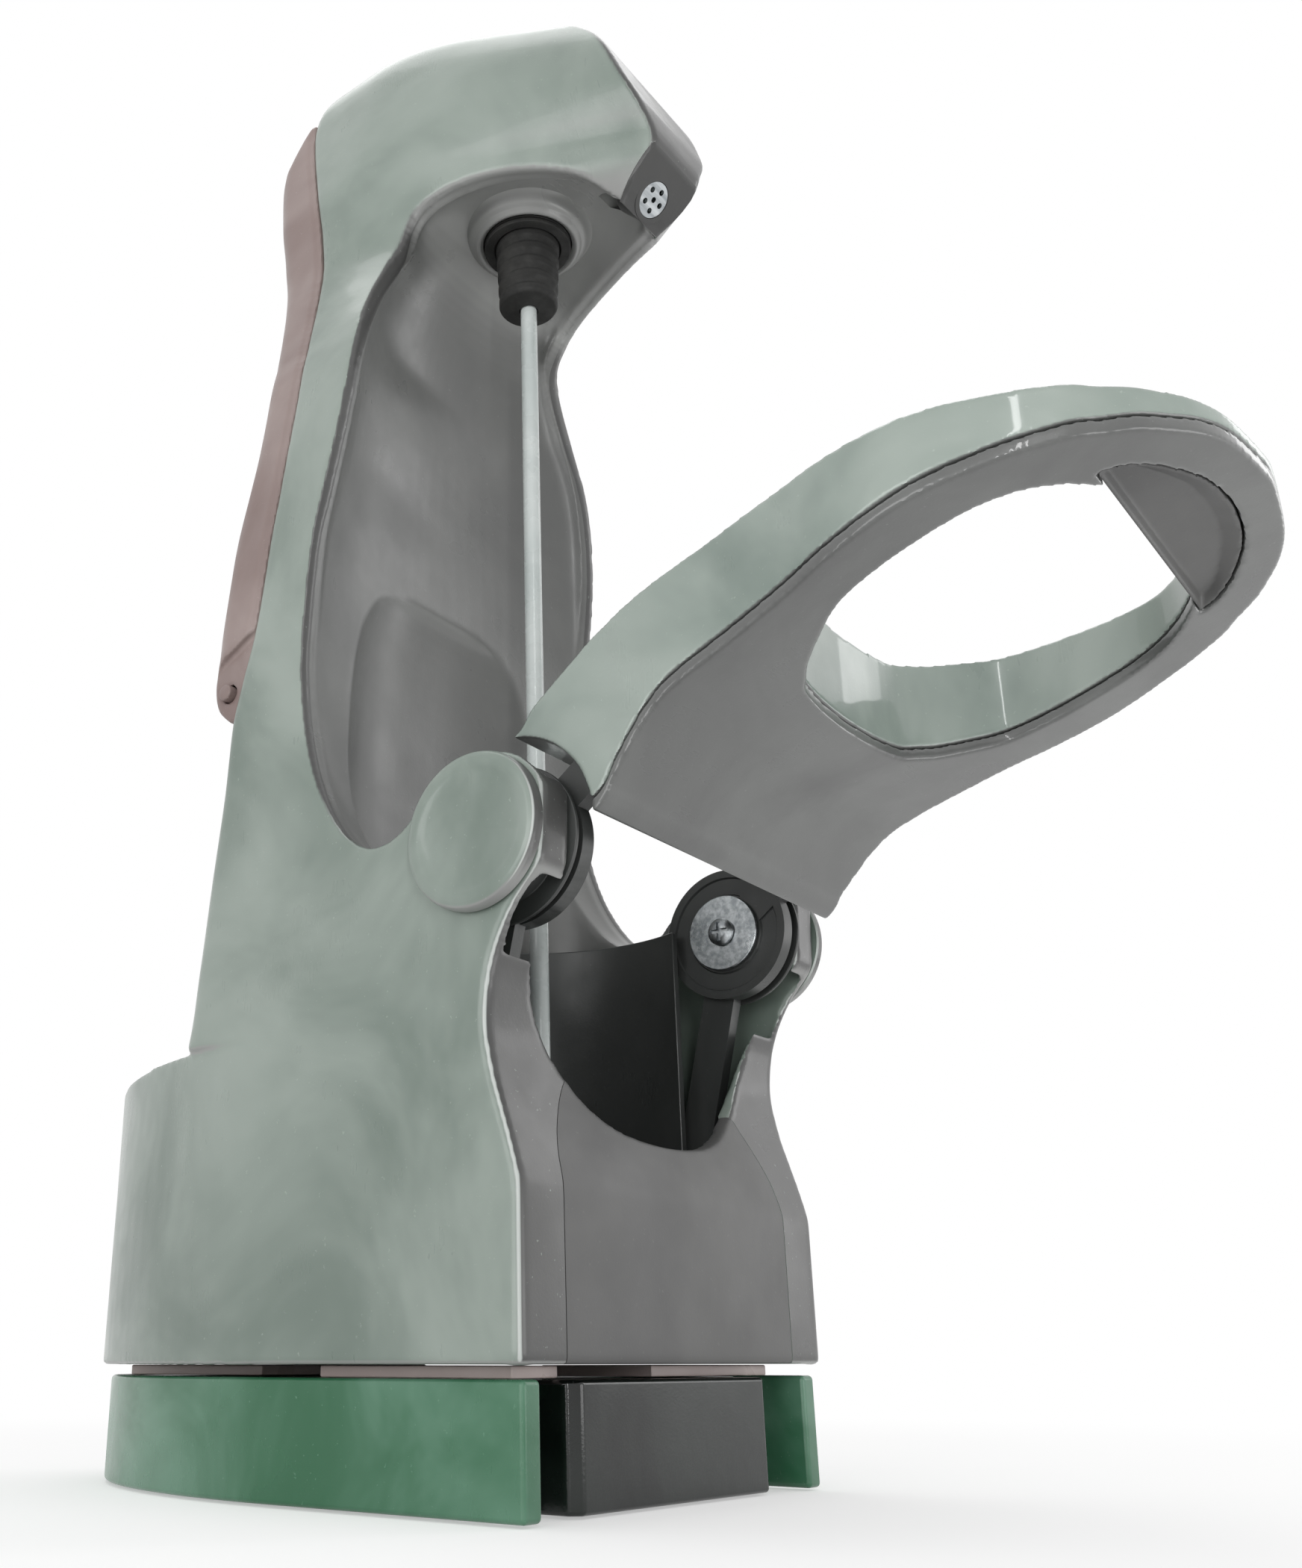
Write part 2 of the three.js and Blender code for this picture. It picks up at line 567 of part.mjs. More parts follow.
// Moves a geometry drawn on the spout's own plane, Z outwards and Y along the slope, into place
function ontoSpout(geometry) {
  const along = at(0, -Math.cos(spoutTurn), Math.sin(spoutTurn));
  const out = at(0, -Math.sin(spoutTurn), -Math.cos(spoutTurn));
  const across = new THREE.Vector3().crossVectors(along, out);
  const place = new THREE.Matrix4().makeBasis(across, along, out);
  place.setPosition(0, backAt(spoutPlaneShares[0][0]), upAt(spoutPlaneShares[0][1]));
  return geometry.applyMatrix4(place);
}

function bezelPlate(margin, depth) {
  const right = bezelShares.map(([out, along]) => [out * bezelHalfWidth + margin, along * bezelLength]);
  const left = right.map(([x, y]) => [-x, y]).reverse();
  const [low, high] = [right[0], right[right.length - 1]];
  low[1] -= margin;
  high[1] += margin;
  left[0][1] += margin;
  left[left.length - 1][1] -= margin;
  const plate = extrude(shapeOf([...right, ...left]), depth + bezelProud).translate(0, 0, -depth);
  return solidOf(ontoSpout(plate));
}

const strainerAlong = bezelLength * strainerAlongShare;
const spoutPiece = (profile, segments) =>
  solidOf(ontoSpout(turned(profile, "z", at(0, strainerAlong, 0), segments)));
const spoutHole = () => spoutPiece(rod(strainerRadius + sleeveWall + 2 * seam, -2 * sleeveDepth, 0), 16);

function mainCasing() {
  const shell = bodyShell.subtract(bibCutter(seam)).subtract(coverOpening());
  const spigots = rodX(spigotRadius + seam, -far, far, hubBack, hubHeight);
  const barrels = rodX(hubBarrelRadius + seam, -half + wall, half - wall, hubBack, hubHeight);
  const flangeEnd = barrelStart + hubFlangeThickness + seam;
  const flanges = rodX(hubFlangeRadius + seam, -flangeEnd, flangeEnd, hubBack, hubHeight);
  return largest([spigots, barrels, flanges, bezelPlate(seam, bezelThickness + seam), spoutHole()]
    .reduce((sum, cut) => sum.subtract(cut), shell));
}

const frontBib = () => bodyShell.intersect(bibCutter(0));

// The floor that closes the casing, with the ribs that the pump lies on
function bodyFloor() {
  const from = bodyBottom + seam;
  const outline = planAt(bodyBottom, wall + seam, coarse).map((p) => [p.x, p.y]);
  const plate = solidOf(uprightPrism(shapeOf(outline), from, from + wall));
  const ribs = [cylinderFrom + saddleThickness, cylinderTo - 2 * saddleThickness].map((back) =>
    solidOf(box(-saddleWidth / 2, saddleWidth / 2, back, back + saddleThickness, from + wall / 2,
      pumpHeight - cylinderRadius / 2)));
  const rest = solidOf(turned(rod(cylinderRadius + seam, cylinderFrom, cylinderTo), "y",
    at(0, 0, pumpHeight)));
  return ribs.reduce((sum, rib) => sum.add(rib.subtract(rest)), plate);
}

// The bay: the cradle round the bottle's body and the liner above it
const axis = at(0, axisBack, 0);

// The bay's hollow, with the narrowing over the bottle's shoulder, grown by a margin
function bayHollow(margin, bottom) {
  const radius = bayRadius + margin;
  const shoulder = shoulderShares.map(([up, share]) => [bayRadius * share + margin, upAt(up)]);
  const profile = [[0, bottom], [radius, bottom], ...shoulder, [0, shoulder[shoulder.length - 1][1]]];
  return solidOf(turned(profile, "z", axis, 40));
}

function bottleCradle() {
  const ring = turned(pipe(bayRadius, bayRadius + cradleThickness, floorTop + seam, cradleTop), "z", axis, 40);
  const open = box(-far, far, -far, front + cradleFront, 0, far);
  const crankRoom = rodX(crankRingRadius + seam, crankInnerFace - seam, half, hubBack, hubHeight, 32);
  return [solidOf(open), crankRoom, crankRoom.mirror([1, 0, 0])]
    .reduce((sum, cut) => sum.subtract(cut), solidOf(ring));
}

// The hollow behind the mouth's edge, grown by a margin all round
const linerSteps = 9;

function linerHollow(margin) {
  const open = margin > 0 ? 0 : 1;
  const from = Math.round(mouthSteps * linerStartShare) - open;
  const to = Math.round(mouthSteps * linerEndShare) + open;
  const stations = mouthLine.slice(from, to + 1);
  const loops = stations.map((p, i) => {
    const before = mouthLine[Math.max(from + i - 1, 0)];
    const after = mouthLine[Math.min(from + i + 1, mouthSteps)];
    const run = new THREE.Vector2().subVectors(after, before).normalize();
    const depth = linerDepth * follow(linerDepthShares, (from + i) / mouthSteps) + margin;
    const inner = planParts(p.y, wall + seam);
    const width = Math.max(inner.widthAt(p.x) - linerThickness, linerThickness) + margin;
    const across = (x, d) => at(x, p.x + run.y * d, p.y - run.x * d);
    const arc = [];
    for (let k = 0; k <= linerSteps; k += 1) {
      const turn = (k / linerSteps) * Math.PI;
      arc.push(across(-width * Math.cos(turn), depth * Math.sin(turn)));
    }
    return [...arc, across(width, margin - overrun / 2), across(-width, margin - overrun / 2)];
  });
  return solidOf(skin(loops));
}

function backLiner() {
  const bottom = cradleTop + seam;
  const sheet = linerHollow(linerThickness).add(bayHollow(cradleThickness, bottom));
  const room = linerHollow(0).add(bayHollow(0, bottom - overrun));
  const under = box(-far, far, -far, far, 0, bottom);
  const near = box(-far, far, -far, hubBack + crankRingRadius + seam, 0, hubHeight + hubRadius);
  const collar = turned(rod(collarRadius + seam, 0, far), "z", axis);
  const out = outAt(coverOpeningShares.out) - seam;
  const [low, high] = [upAt(coverOpeningShares.from) + seam, upAt(coverOpeningShares.to) - seam];
  const behind = box(-out, out, coverOpeningEdge, -front, low, high);
  const inside = bodyLoft(wall + seam, bodyBottom - overrun, innerLevelShares, coarse).add(solidOf(behind));
  return largest([room, mouthCutter(), solidOf(under), solidOf(near), solidOf(collar),
    bezelPlate(seam, bezelThickness + seam), spoutHole()]
    .reduce((sum, cut) => sum.subtract(cut), sheet.intersect(inside)));
}

const collarBoss = () =>
  solidOf(turned(pipe(collarBore, collarRadius, collarBottom, collarBottom + collarLength), "z", axis));

function bottlePlatform() {
  const plate = uprightPrism(circleShape(bayRadius - seam, 0, axisBack), platformTop - platformThickness,
    platformTop, 20);
  const radius = bayRadius - platformSkirtInset;
  const skirt = turned(pipe(radius - platformThickness, radius, floorTop + seam,
    platformTop - platformThickness / 2), "z", axis);
  return solidOf(plate).add(solidOf(skirt)).intersect(insideCasing(wall + 2 * seam));
}

function platformMat() {
  const from = platformTop + seam;
  const disc = circleShape(bayRadius - platformMatInset, 0, axisBack);
  const mat = uprightPrism(disc, from, from + platformMatThickness, 20);
  return solidOf(mat).intersect(insideCasing(wall + 2 * seam));
}

function insideCasing(inset) {
  const level = upAt(insideLevelShare);
  return solidOf(uprightPrism(shapeOf(planAt(level, inset, coarse).map((p) => [p.x, p.y])), 0, level));
}

// The rear cover is a cap that closes the column's back
const coverCornerSteps = 3;

function coverLoft(inset, frontOf) {
  const loops = coverShares.map(([up, back], i) => {
    const z = upAt(up) + (i === 0 ? inset : 0) - (i === coverShares.length - 1 ? inset : 0);
    const start = frontOf(planParts(upAt(up), 0).tail);
    const end = Math.max(backAt(back) - inset, start + coverGap);
    const out = outAt(follow(flankWidthShares, up)) - coverGap - inset;
    const corner = Math.min(coverCorner, (end - start) / 2);
    const right = [[out, start], [out, end - corner]];
    for (let k = 1; k <= coverCornerSteps; k += 1) {
      const turn = ((k / coverCornerSteps) * Math.PI) / 2;
      right.push([out - corner * (1 - Math.cos(turn)), end - corner * (1 - Math.sin(turn))]);
    }
    const left = right.map(([x, y]) => [-x, y]).reverse();
    return [...right, ...left].map(([x, y]) => at(x, y, z));
  });
  return solidOf(skin(loops));
}

function rearCover() {
  const shell = coverLoft(0, (tail) => tail + coverGap).subtract(coverLoft(coverWall, (tail) => tail - wall));
  const [back, up] = [backAt(coverPinShares.back), upAt(coverPinShares.up)];
  return shell.subtract(rodX(coverPinRadius + seam, -far, far, back, up, 12));
}

function coverPin() {
  const out = outAt(follow(flankWidthShares, coverPinShares.up)) + coverPinProud;
  const [back, up] = [backAt(coverPinShares.back), upAt(coverPinShares.up)];
  return rodX(coverPinRadius, out - coverPinReach, out, back, up, 12);
}

// The foot
function footOutline(inset, start) {
  const out = half - footInset - inset;
  const bend = backAt(tailReachShare) - tailLength - footInset;
  const points = [[out, start]];
  for (let i = 0; i <= 2 * fine.tail; i += 1) {
    const turn = (i / (2 * fine.tail)) * Math.PI;
    points.push([out * Math.cos(turn), bend + (tailLength - inset) * Math.sin(turn)]);
  }
  points.push([-out, start]);
  return shapeOf(points);
}

function footSkirt() {
  const outside = uprightPrism(footOutline(0, front), skirtLift, footHeight);
  const inside = uprightPrism(footOutline(skirtThickness, front - overrun), 0, bodyHeight);
  return solidOf(outside).subtract(solidOf(inside));
}

function footFrontBlock() {
  const out = footBlockWidth / 2;
  const start = front + footBlockSetback;
  const end = start + footBlockThickness;
  const outline = [[-out, end], [-out, start + footBlockChamfer], [footBlockChamfer - out, start],
    [out - footBlockChamfer, start], [out, start + footBlockChamfer], [out, end]];
  return solidOf(uprightPrism(shapeOf(outline), skirtLift, footHeight - seam));
}

const footInsideStart = front + footBlockSetback + footBlockThickness + seam;

function footDeck() {
  const outline = footOutline(skirtThickness + seam, footInsideStart);
  return solidOf(uprightPrism(outline, footHeight - seam - footPlateThickness, footHeight - seam));
}

// The foot's bottom plate, with the posts that hold up the deck
function footPlate() {
  const bottom = gripMatThickness + seam;
  const outline = footOutline(skirtThickness + seam, footInsideStart);
  const plate = solidOf(uprightPrism(outline, bottom, bottom + footPlateThickness));
  const top = footHeight - footPlateThickness - 2 * seam;
  const posts = [[-1, -1], [1, -1], [-1, 1], [1, 1]].map(([x, y]) =>
    solidOf(turned(rod(footPostRadius, bottom, top), "z", at((x * half) / 2, (y * half) / 2, 0), 12)));
  return posts.reduce((sum, post) => sum.add(post), plate);
}

const gripMat = () =>
  solidOf(uprightPrism(footOutline(gripMatMargin, front + footBlockSetback + 2 * gripMatMargin), 0,
    gripMatThickness));

// The blocks between the foot and the body
const riserShares = [
  { name: "riser_right", x: [-0.03, 0.81], b: [0.045, 0.216] },
  { name: "riser_left", x: [-0.85, -0.6], b: [0.045, 0.34] },
  { name: "riser_rear", x: [-0.5, 0.5], b: [0.57, 0.85] },
];
const riserBlock = ({ x, b }) =>
  solidOf(box(outAt(x[0]), outAt(x[1]), backAt(b[0]), backAt(b[1]), footHeight, bodyBottom));

// The hub on the right side of the hinge. The left one is its mirror image.
const rodX = (radius, from, to, back, up, segments = 20) =>
  solidOf(turned(rod(radius, from, to), "x", at(0, back, up), segments));
const pipeX = (bore, radius, from, to, segments = 20) =>
  solidOf(turned(pipe(bore, radius, from, to), "x", at(0, hubBack, hubHeight), segments));
const onHub = (profile, segments = 20) =>
  solidOf(turned(profile, "x", at(0, hubBack, hubHeight), segments));

function hubCap() {
  const from = half + seam;
  const to = from + hubCapThickness;
  const dish = hubCapRadius - 2 * hubCapEdge;
  return onHub([[0, from - wall], [spigotRadius, from - wall], [spigotRadius, from], [hubCapRadius, from],
    [hubCapRadius, to - hubCapEdge], [hubCapRadius - hubCapEdge, to], [dish, to], [dish - hubCapDish,
      to - hubCapDish], [0, to - hubCapDish]], 32);
}

const barrelStart = crankInnerFace + crankThickness + crankBarrelGap;
const barrelEnd = half - wall - seam;

function hubBarrel() {
  const floor = barrelStart + hubBarrelFloor;
  const flange = barrelStart + hubFlangeThickness;
  const bore = axleRadius + runningGap;
  return onHub([[bore, barrelStart], [hubFlangeRadius, barrelStart], [hubFlangeRadius, flange],
    [hubBarrelRadius, flange], [hubBarrelRadius, barrelEnd], [hubBarrelBore, barrelEnd],
    [hubBarrelBore, floor], [bore, floor], [bore, barrelStart]], 28);
}

function hubAxle() {
  const hole = rodX(screwShaftRadius + seam, 0, crankInnerFace + crankThickness, hubBack, hubHeight, 12);
  return rodX(axleRadius, crankInnerFace, barrelEnd - seam, hubBack, hubHeight).subtract(hole);
}

const hubWasher = () =>
  pipeX(screwShaftRadius + seam, washerRadius, crankInnerFace - seam - washerThickness,
    crankInnerFace - seam);

function hubScrew() {
  const under = crankInnerFace - 2 * seam - washerThickness;
  const top = under - screwHeadHeight;
  const head = onHub([[0, top], [screwHeadRadius / 2, top], [screwHeadRadius, top + screwHeadHeight / 2],
    [screwHeadRadius, under], [screwShaftRadius, under], [screwShaftRadius, crankInnerFace + crankThickness -
      seam], [0, crankInnerFace + crankThickness - seam]], 16);
  const reach = screwHeadRadius - screwSlotMargin;
  const bar = screwSlotWidth / 2;
  const slot = [[reach, bar], [bar, reach]].map(([y, z]) =>
    solidOf(box(top - overrun, top + screwSlotDepth, hubBack - y, hubBack + y, hubHeight - z, hubHeight + z)));
  return slot.reduce((sum, cut) => sum.subtract(cut), head);
}

// A curve that winds round the hinge inside the barrel
const springStart = barrelStart + hubBarrelFloor + springWire;
const springPitch = (barrelEnd - springStart - springWire / 2 - springClearance) / springTurns;

class Winding extends THREE.Curve {
  getPoint(t) {
    const turn = t * springTurns * 2 * Math.PI;
    return at(springStart + t * springTurns * springPitch, hubBack + springRadius * Math.cos(turn),
      hubHeight + springRadius * Math.sin(turn));
  }
}

function returnSpring() {
  const wire = new THREE.Shape();
  const sides = 5;
  for (let i = 0; i < sides; i += 1) {
    const turn = (i / sides) * 2 * Math.PI;
    const point = [Math.cos(turn), Math.sin(turn)].map((share) => (share * springWire) / 2);
    if (i === 0) wire.moveTo(...point);
    else wire.lineTo(...point);
  }
  const steps = springTurns * springSteps;
  return solidOf(new THREE.ExtrudeGeometry(wire, { steps, extrudePath: new Winding() }));
}

// The cranks
const toward = (degrees) => {
  const turn = THREE.MathUtils.degToRad(degrees);
  return [Math.cos(turn), Math.sin(turn)];
};
const [restCos, restSin] = toward(crankRestDegrees);
const pinHeight = pumpHeight + crankPinRise;
const crankArmLength = (hubHeight - pinHeight) / restCos;
const pinBack = hubBack + crankArmLength * restSin;

// A straight bar in the side view from the hinge to a far point
function hubBar(toBack, toUp, width) {
  const run = new THREE.Vector2(toBack - hubBack, toUp - hubHeight);
  const side = new THREE.Vector2(-run.y, run.x).setLength(width / 2);
  return shapeOf([[hubBack + side.x, hubHeight + side.y], [hubBack - side.x, hubHeight - side.y],
    [toBack - side.x, toUp - side.y], [toBack + side.x, toUp + side.y]]);
}

const [tongueCos, tongueSin] = toward(crankTongueDegrees);
const tongue = (width, length, from, to) =>
  solidOf(acrossPrism(hubBar(hubBack - length * tongueCos, hubHeight + length * tongueSin, width), from, to));

function crank() {
  const outer = crankInnerFace + crankThickness;
  const armEnd = crankArmInnerFace + crankArmThickness;
  const ring = rodX(crankRingRadius, crankInnerFace, outer, hubBack, hubHeight, 32);
  const arm = solidOf(acrossPrism(hubBar(pinBack, pinHeight, crankArmWidth), crankArmInnerFace, armEnd));
  const boss = rodX(crankBossRadius, crankArmInnerFace, armEnd, pinBack, pinHeight, 20);
  const axleHole = rodX(axleRadius + seam, 0, half, hubBack, hubHeight);
  const pinHole = rodX(crankPinRadius + seam, 0, half, pinBack, pinHeight, 16);
  const finger = tongue(crankArmWidth, crankTongueLength, crankInnerFace, outer);
  return ring.add(arm).add(boss).add(finger).subtract(axleHole).subtract(pinHole);
}

const crankPin = () =>
  rodX(crankPinRadius, crankArmInnerFace, yokePlateInnerFace + yokePlateThickness + seam, pinBack, pinHeight, 16);

// The lever
const leverBack = (share) => front - share * leverReach;

// An outline of the lever in plan, grown by a margin along its whole edge, as a tall prism
function leverPlan(rows, margin) {
  const right = rows.map(([reach, out]) => [(out * leverWidth) / 2, leverBack(reach)]);
  const left = right.map(([x, y]) => [-x, y]).reverse();
  const outline = new wasm.CrossSection([[...left, ...right].reverse()]);
  return wasm.Manifold.extrude(margin === 0 ? outline : outline.offset(margin, "Miter"), bodyHeight);
}

const leverRow = (rows, rise) => rows.map(([reach, up]) => [leverBack(reach), upAt(up) + rise]);

// The lever's side view between its underside and its top, with the round back that clears the hub
function leverSide(rise, drop, arc) {
  const under = leverRow(leverUnderShares, rise);
  const top = leverRow(leverTopShares, -drop).reverse();
  const body = solidOf(acrossPrism(shapeOf([...under, ...top]), -leverWidth, leverWidth));
  return body.subtract(rodX(arc, -leverWidth, leverWidth, hubBack, hubHeight, 40));
}

function leverUpperShell() {
  const parting = leverCoverThickness + seam;
  const outside = leverPlan(leverPlanShares, 0).intersect(leverSide(parting, 0, leverArcRadius));
  const room = leverPlan(leverPlanShares, -leverWall)
    .intersect(leverSide(parting - overrun, leverWall, leverArcRadius + leverWall))
    .subtract(leverPlan(leverHoleShares, leverWall));
  const fingers = tongue(crankArmWidth + 2 * seam, crankTongueLength, crankInnerFace - seam,
    crankInnerFace + crankThickness + seam);
  return outside.subtract(leverPlan(leverHoleShares, 0)).subtract(room)
    .subtract(fingers).subtract(fingers.mirror([1, 0, 0]));
}

function leverLowerCover() {
  const outside = leverPlan(leverPlanShares, 0).intersect(leverSide(0, 0, leverArcRadius));
  const above = leverSide(leverCoverThickness, -overrun, leverArcRadius - overrun);
  return largest([above, leverPlan(leverHoleShares, 0), leverPlan(fingerRestShares, seam)]
    .reduce((sum, cut) => sum.subtract(cut), outside));
}

// The crescent pad for the fingers at the front of the ring, let into the lower cover
function fingerRest() {
  const plate = leverPlan(fingerRestShares, 0)
    .intersect(leverSide(fingerRestRise, 0, leverArcRadius))
    .subtract(leverSide(leverCoverThickness, -overrun, leverArcRadius));
  const block = leverPlan(leverHoleShares, -seam)
    .intersect(leverSide(fingerRestRise, fingerRestLip, leverArcRadius));
  const behind = box(-leverWidth, leverWidth, leverBack(fingerRestShares[0][0]), 0, 0, bodyHeight);
  return plate.add(block).subtract(solidOf(behind));
}

// The pump
const pumpAxis = at(0, 0, pumpHeight);
const alongPump = (profile, segments) => solidOf(turned(profile, "y", pumpAxis, segments));
const yokeFrom = axisBack + bayRadius + cradleThickness + yokeCradleGap;
const yokeTo = yokeFrom + yokeBarDepth;
const tailInside = backAt(follow(tailShares, pumpHeight / bodyHeight)) - wall;
const pumpRun = tailInside - cylinderTailGap - yokeTo - capClearance - cylinderCapThickness - seam;
const pumpStroke = (pumpRun - pistonSetback - pistonThickness - pistonEndGap - cylinderEnd) / 2;
const cylinderFrom = yokeTo + pumpStroke + capClearance + cylinderCapThickness + seam;
const cylinderTo = tailInside - cylinderTailGap;
const pistonFrom = cylinderFrom + pistonSetback;
const valveBack = cylinderTo - valveSetback;
const valveHeight = cylinderTop + seam + valveRadius;

function pumpCylinder() {
  const floor = cylinderTo - cylinderEnd;
  const cup = alongPump([[cylinderBore, cylinderFrom], [cylinderRadius, cylinderFrom],
    [cylinderRadius, cylinderTo], [0, cylinderTo], [0, floor], [cylinderBore, floor],
    [cylinderBore, cylinderFrom]], 32);
  return cup.subtract(valveStub(valvePortRadius + seam, cylinderRadius));
}

const valveStub = (radius, drop) =>
  solidOf(turned(rod(radius, valveHeight - valveRadius - drop, valveHeight), "z",
    at(0, valveBack - valveLength / 2, 0), 12));

const cylinderCap = () =>
  alongPump(pipe(rodRadius + runningGap, cylinderRadius, cylinderFrom - cylinderCapThickness - seam,
    cylinderFrom - seam), 32);

function piston() {
  const middle = pistonFrom + pistonThickness / 2;
  const groove = pistonRadius - sealGroove;
  return alongPump([[0, pistonFrom], [pistonRadius, pistonFrom], [pistonRadius, middle - sealGroove / 2],
    [groove, middle - sealGroove / 2], [groove, middle + sealGroove / 2],
    [pistonRadius, middle + sealGroove / 2], [pistonRadius, pistonFrom + pistonThickness],
    [0, pistonFrom + pistonThickness]], 32);
}

function pistonSeal() {
  const middle = pistonFrom + pistonThickness / 2;
  const reach = sealGroove / 2 - seam / 2;
  return alongPump(pipe(pistonRadius - sealGroove + seam, cylinderBore - seam, middle - reach,
    middle + reach), 32);
}

const pistonRod = () => alongPump(rod(rodRadius, yokeTo + seam, pistonFrom - seam), 16);

// The crossbar behind the cradle and the two slotted plates that the crank pins work in
function pistonYoke() {
  const out = yokePlateInnerFace + yokePlateThickness;
  const inner = out - yokeChamfer;
  const outline = [[-out, yokeFrom], [out, yokeFrom], [out, yokeTo - yokeChamfer], [inner, yokeTo],
    [-inner, yokeTo], [-out, yokeTo - yokeChamfer]];
  const [low, high] = [pumpHeight - yokeBarHeight / 2, pumpHeight + yokeBarHeight / 2];
  const bar = solidOf(uprightPrism(shapeOf(outline), low, high));
  const reach = crankPinRadius + yokeSlotClearance;
  const rim = reach + yokeSlotRim;
  const [bottom, top] = [pinHeight - yokeSlotDrop, pinHeight + yokeSlotRise];
  const plate = (side) => {
    const [from, to] = side < 0 ? [-out, -yokePlateInnerFace] : [yokePlateInnerFace, out];
    const frame = solidOf(box(from, to, pinBack - rim, pinBack + rim, bottom - yokeSlotRim, top + yokeSlotRim));
    const link = solidOf(box(from, to, pinBack, yokeFrom + yokeBarDepth / 4, low, high));
    const slot = solidOf(box(from - seam, to + seam, pinBack - reach, pinBack + reach, bottom, top));
    return frame.add(link).subtract(slot);
  };
  return bar.add(plate(-1)).add(plate(1));
}

function outletValve() {
  const from = valveBack - valveLength;
  const body = solidOf(turned([[0, from - nippleLength], [nippleRadius, from - nippleLength],
    [nippleRadius, from], [valveRadius, from], [valveRadius, valveBack], [0, valveBack]], "y",
  at(0, 0, valveHeight), 16));
  return body.add(valveStub(valvePortRadius, wall / 2));
}

// The air line and the spout line
function tubeAlong(points, radius, bore, steps, segments) {
  const path = new THREE.CatmullRomCurve3(points, false, "centripetal");
  const shape = circleShape(radius, 0, 0, bore);
  return solidOf(new THREE.ExtrudeGeometry(shape, { steps, extrudePath: path, curveSegments: segments }));
}

const hoseStart = at(0, valveBack - valveLength - seam, valveHeight);
const fittingHeight = (stopperFlange + stopperFlangeThickness + stopperTop) / 2;
const fittingTip = axisBack + stopperBodyRadius + fittingLength + seam;

function airHose() {
  const route = hoseShares.map(([out, back, up]) => at(outAt(out), backAt(back), upAt(up)));
  const leads = [0, hoseLead / 2, hoseLead];
  const starts = leads.map((run) => at(0, hoseStart.y - run, valveHeight));
  const ends = leads.map((run) => at(0, fittingTip + seam + run, fittingHeight)).reverse();
  const points = [...starts, ...route, ...ends];
  return tubeAlong(points, hoseRadius, hoseBore, 44, 3);
}

// The stem that the hose is pushed on, standing on the stopper's back
function airFitting() {
  const from = axisBack + stopperBodyRadius + seam;
  const to = from + fittingLength;
  return solidOf(turned([[0, from], [fittingRadius, from], [fittingRadius, to], [nippleRadius, to],
    [nippleRadius, to + nippleLength], [0, to + nippleLength]], "y", at(0, 0, fittingHeight), 16));
}

function bottleStopper() {
  const bore = dipTubeRadius + seam;
  const over = stopperFlange + stopperFlangeThickness;
  return solidOf(turned([[bore, stopperTip], [stopperTipRadius, stopperTip], [stopperNeckRadius, stopperFlange],
    [stopperFlangeRadius, stopperFlange], [stopperFlangeRadius, over], [stopperBodyRadius, over],
    [stopperBodyRadius, stopperTop], [bore, stopperTop], [bore, stopperTip]], "z", axis));
}

const mouthSeal = () =>
  solidOf(turned(pipe(stopperNeckRadius + seam, mouthSealRadius, stopperFlange - seam - mouthSealThickness,
    stopperFlange - seam), "z", axis));

const dipTube = () =>
  solidOf(turned(pipe(dipTubeBore, dipTubeRadius, dipTubeBottom, dipTubeTop), "z", axis, 12));

function spoutTube() {
  const along = at(0, -Math.cos(spoutTurn), Math.sin(spoutTurn)).multiplyScalar(strainerAlong);
  const inwards = at(0, Math.sin(spoutTurn), Math.cos(spoutTurn));
  const base = at(0, backAt(spoutPlaneShares[0][0]), upAt(spoutPlaneShares[0][1])).add(along);
  const deep = strainerSetback + strainerThickness + seam;
  const mouth = base.clone().addScaledVector(inwards, deep);
  const lead = base.clone().addScaledVector(inwards, deep + sleeveDepth);
  const route = spoutRouteShares.map(([back, up]) => at(0, backAt(back), upAt(up)));
  const points = [at(0, axisBack, stopperTop + seam), at(0, axisBack, stopperTop + spoutTubeRadius),
    ...route, lead, mouth];
  return tubeAlong(points, spoutTubeRadius, spoutTubeBore, 16, 4);
}

function spoutBezel() {
  const sleeve = spoutPiece(rod(strainerRadius + seam + sleeveWall, -sleeveDepth, 0), 24);
  const bore = spoutPiece(rod(strainerRadius + seam, -sleeveDepth - overrun, overrun), 24);
  return bezelPlate(0, bezelThickness).add(sleeve).subtract(bore);
}

function spoutStrainer() {
  const disc = spoutPiece(rod(strainerRadius, -strainerSetback - strainerThickness, -strainerSetback), 24);
  const places = [[0, 0]];
  for (let i = 0; i < strainerHoles; i += 1) {
    const turn = (i / strainerHoles) * 2 * Math.PI;
    places.push([strainerRing * Math.cos(turn), strainerRing * Math.sin(turn)]);
  }
  const holes = places.map(([x, y]) => solidOf(ontoSpout(turned(rod(strainerHoleRadius, -sleeveDepth, 0),
    "z", at(x, strainerAlong + y, 0), 6))));
  return holes.reduce((sum, hole) => sum.subtract(hole), disc);
}

const bodyShell = bodyLoft(0, bodyBottom, outerLevelShares, fine)
  .subtract(bodyLoft(wall, bodyBottom - overrun, innerLevelShares, coarse))
  .subtract(mouthCutter())
  .subtract(windowCutter());

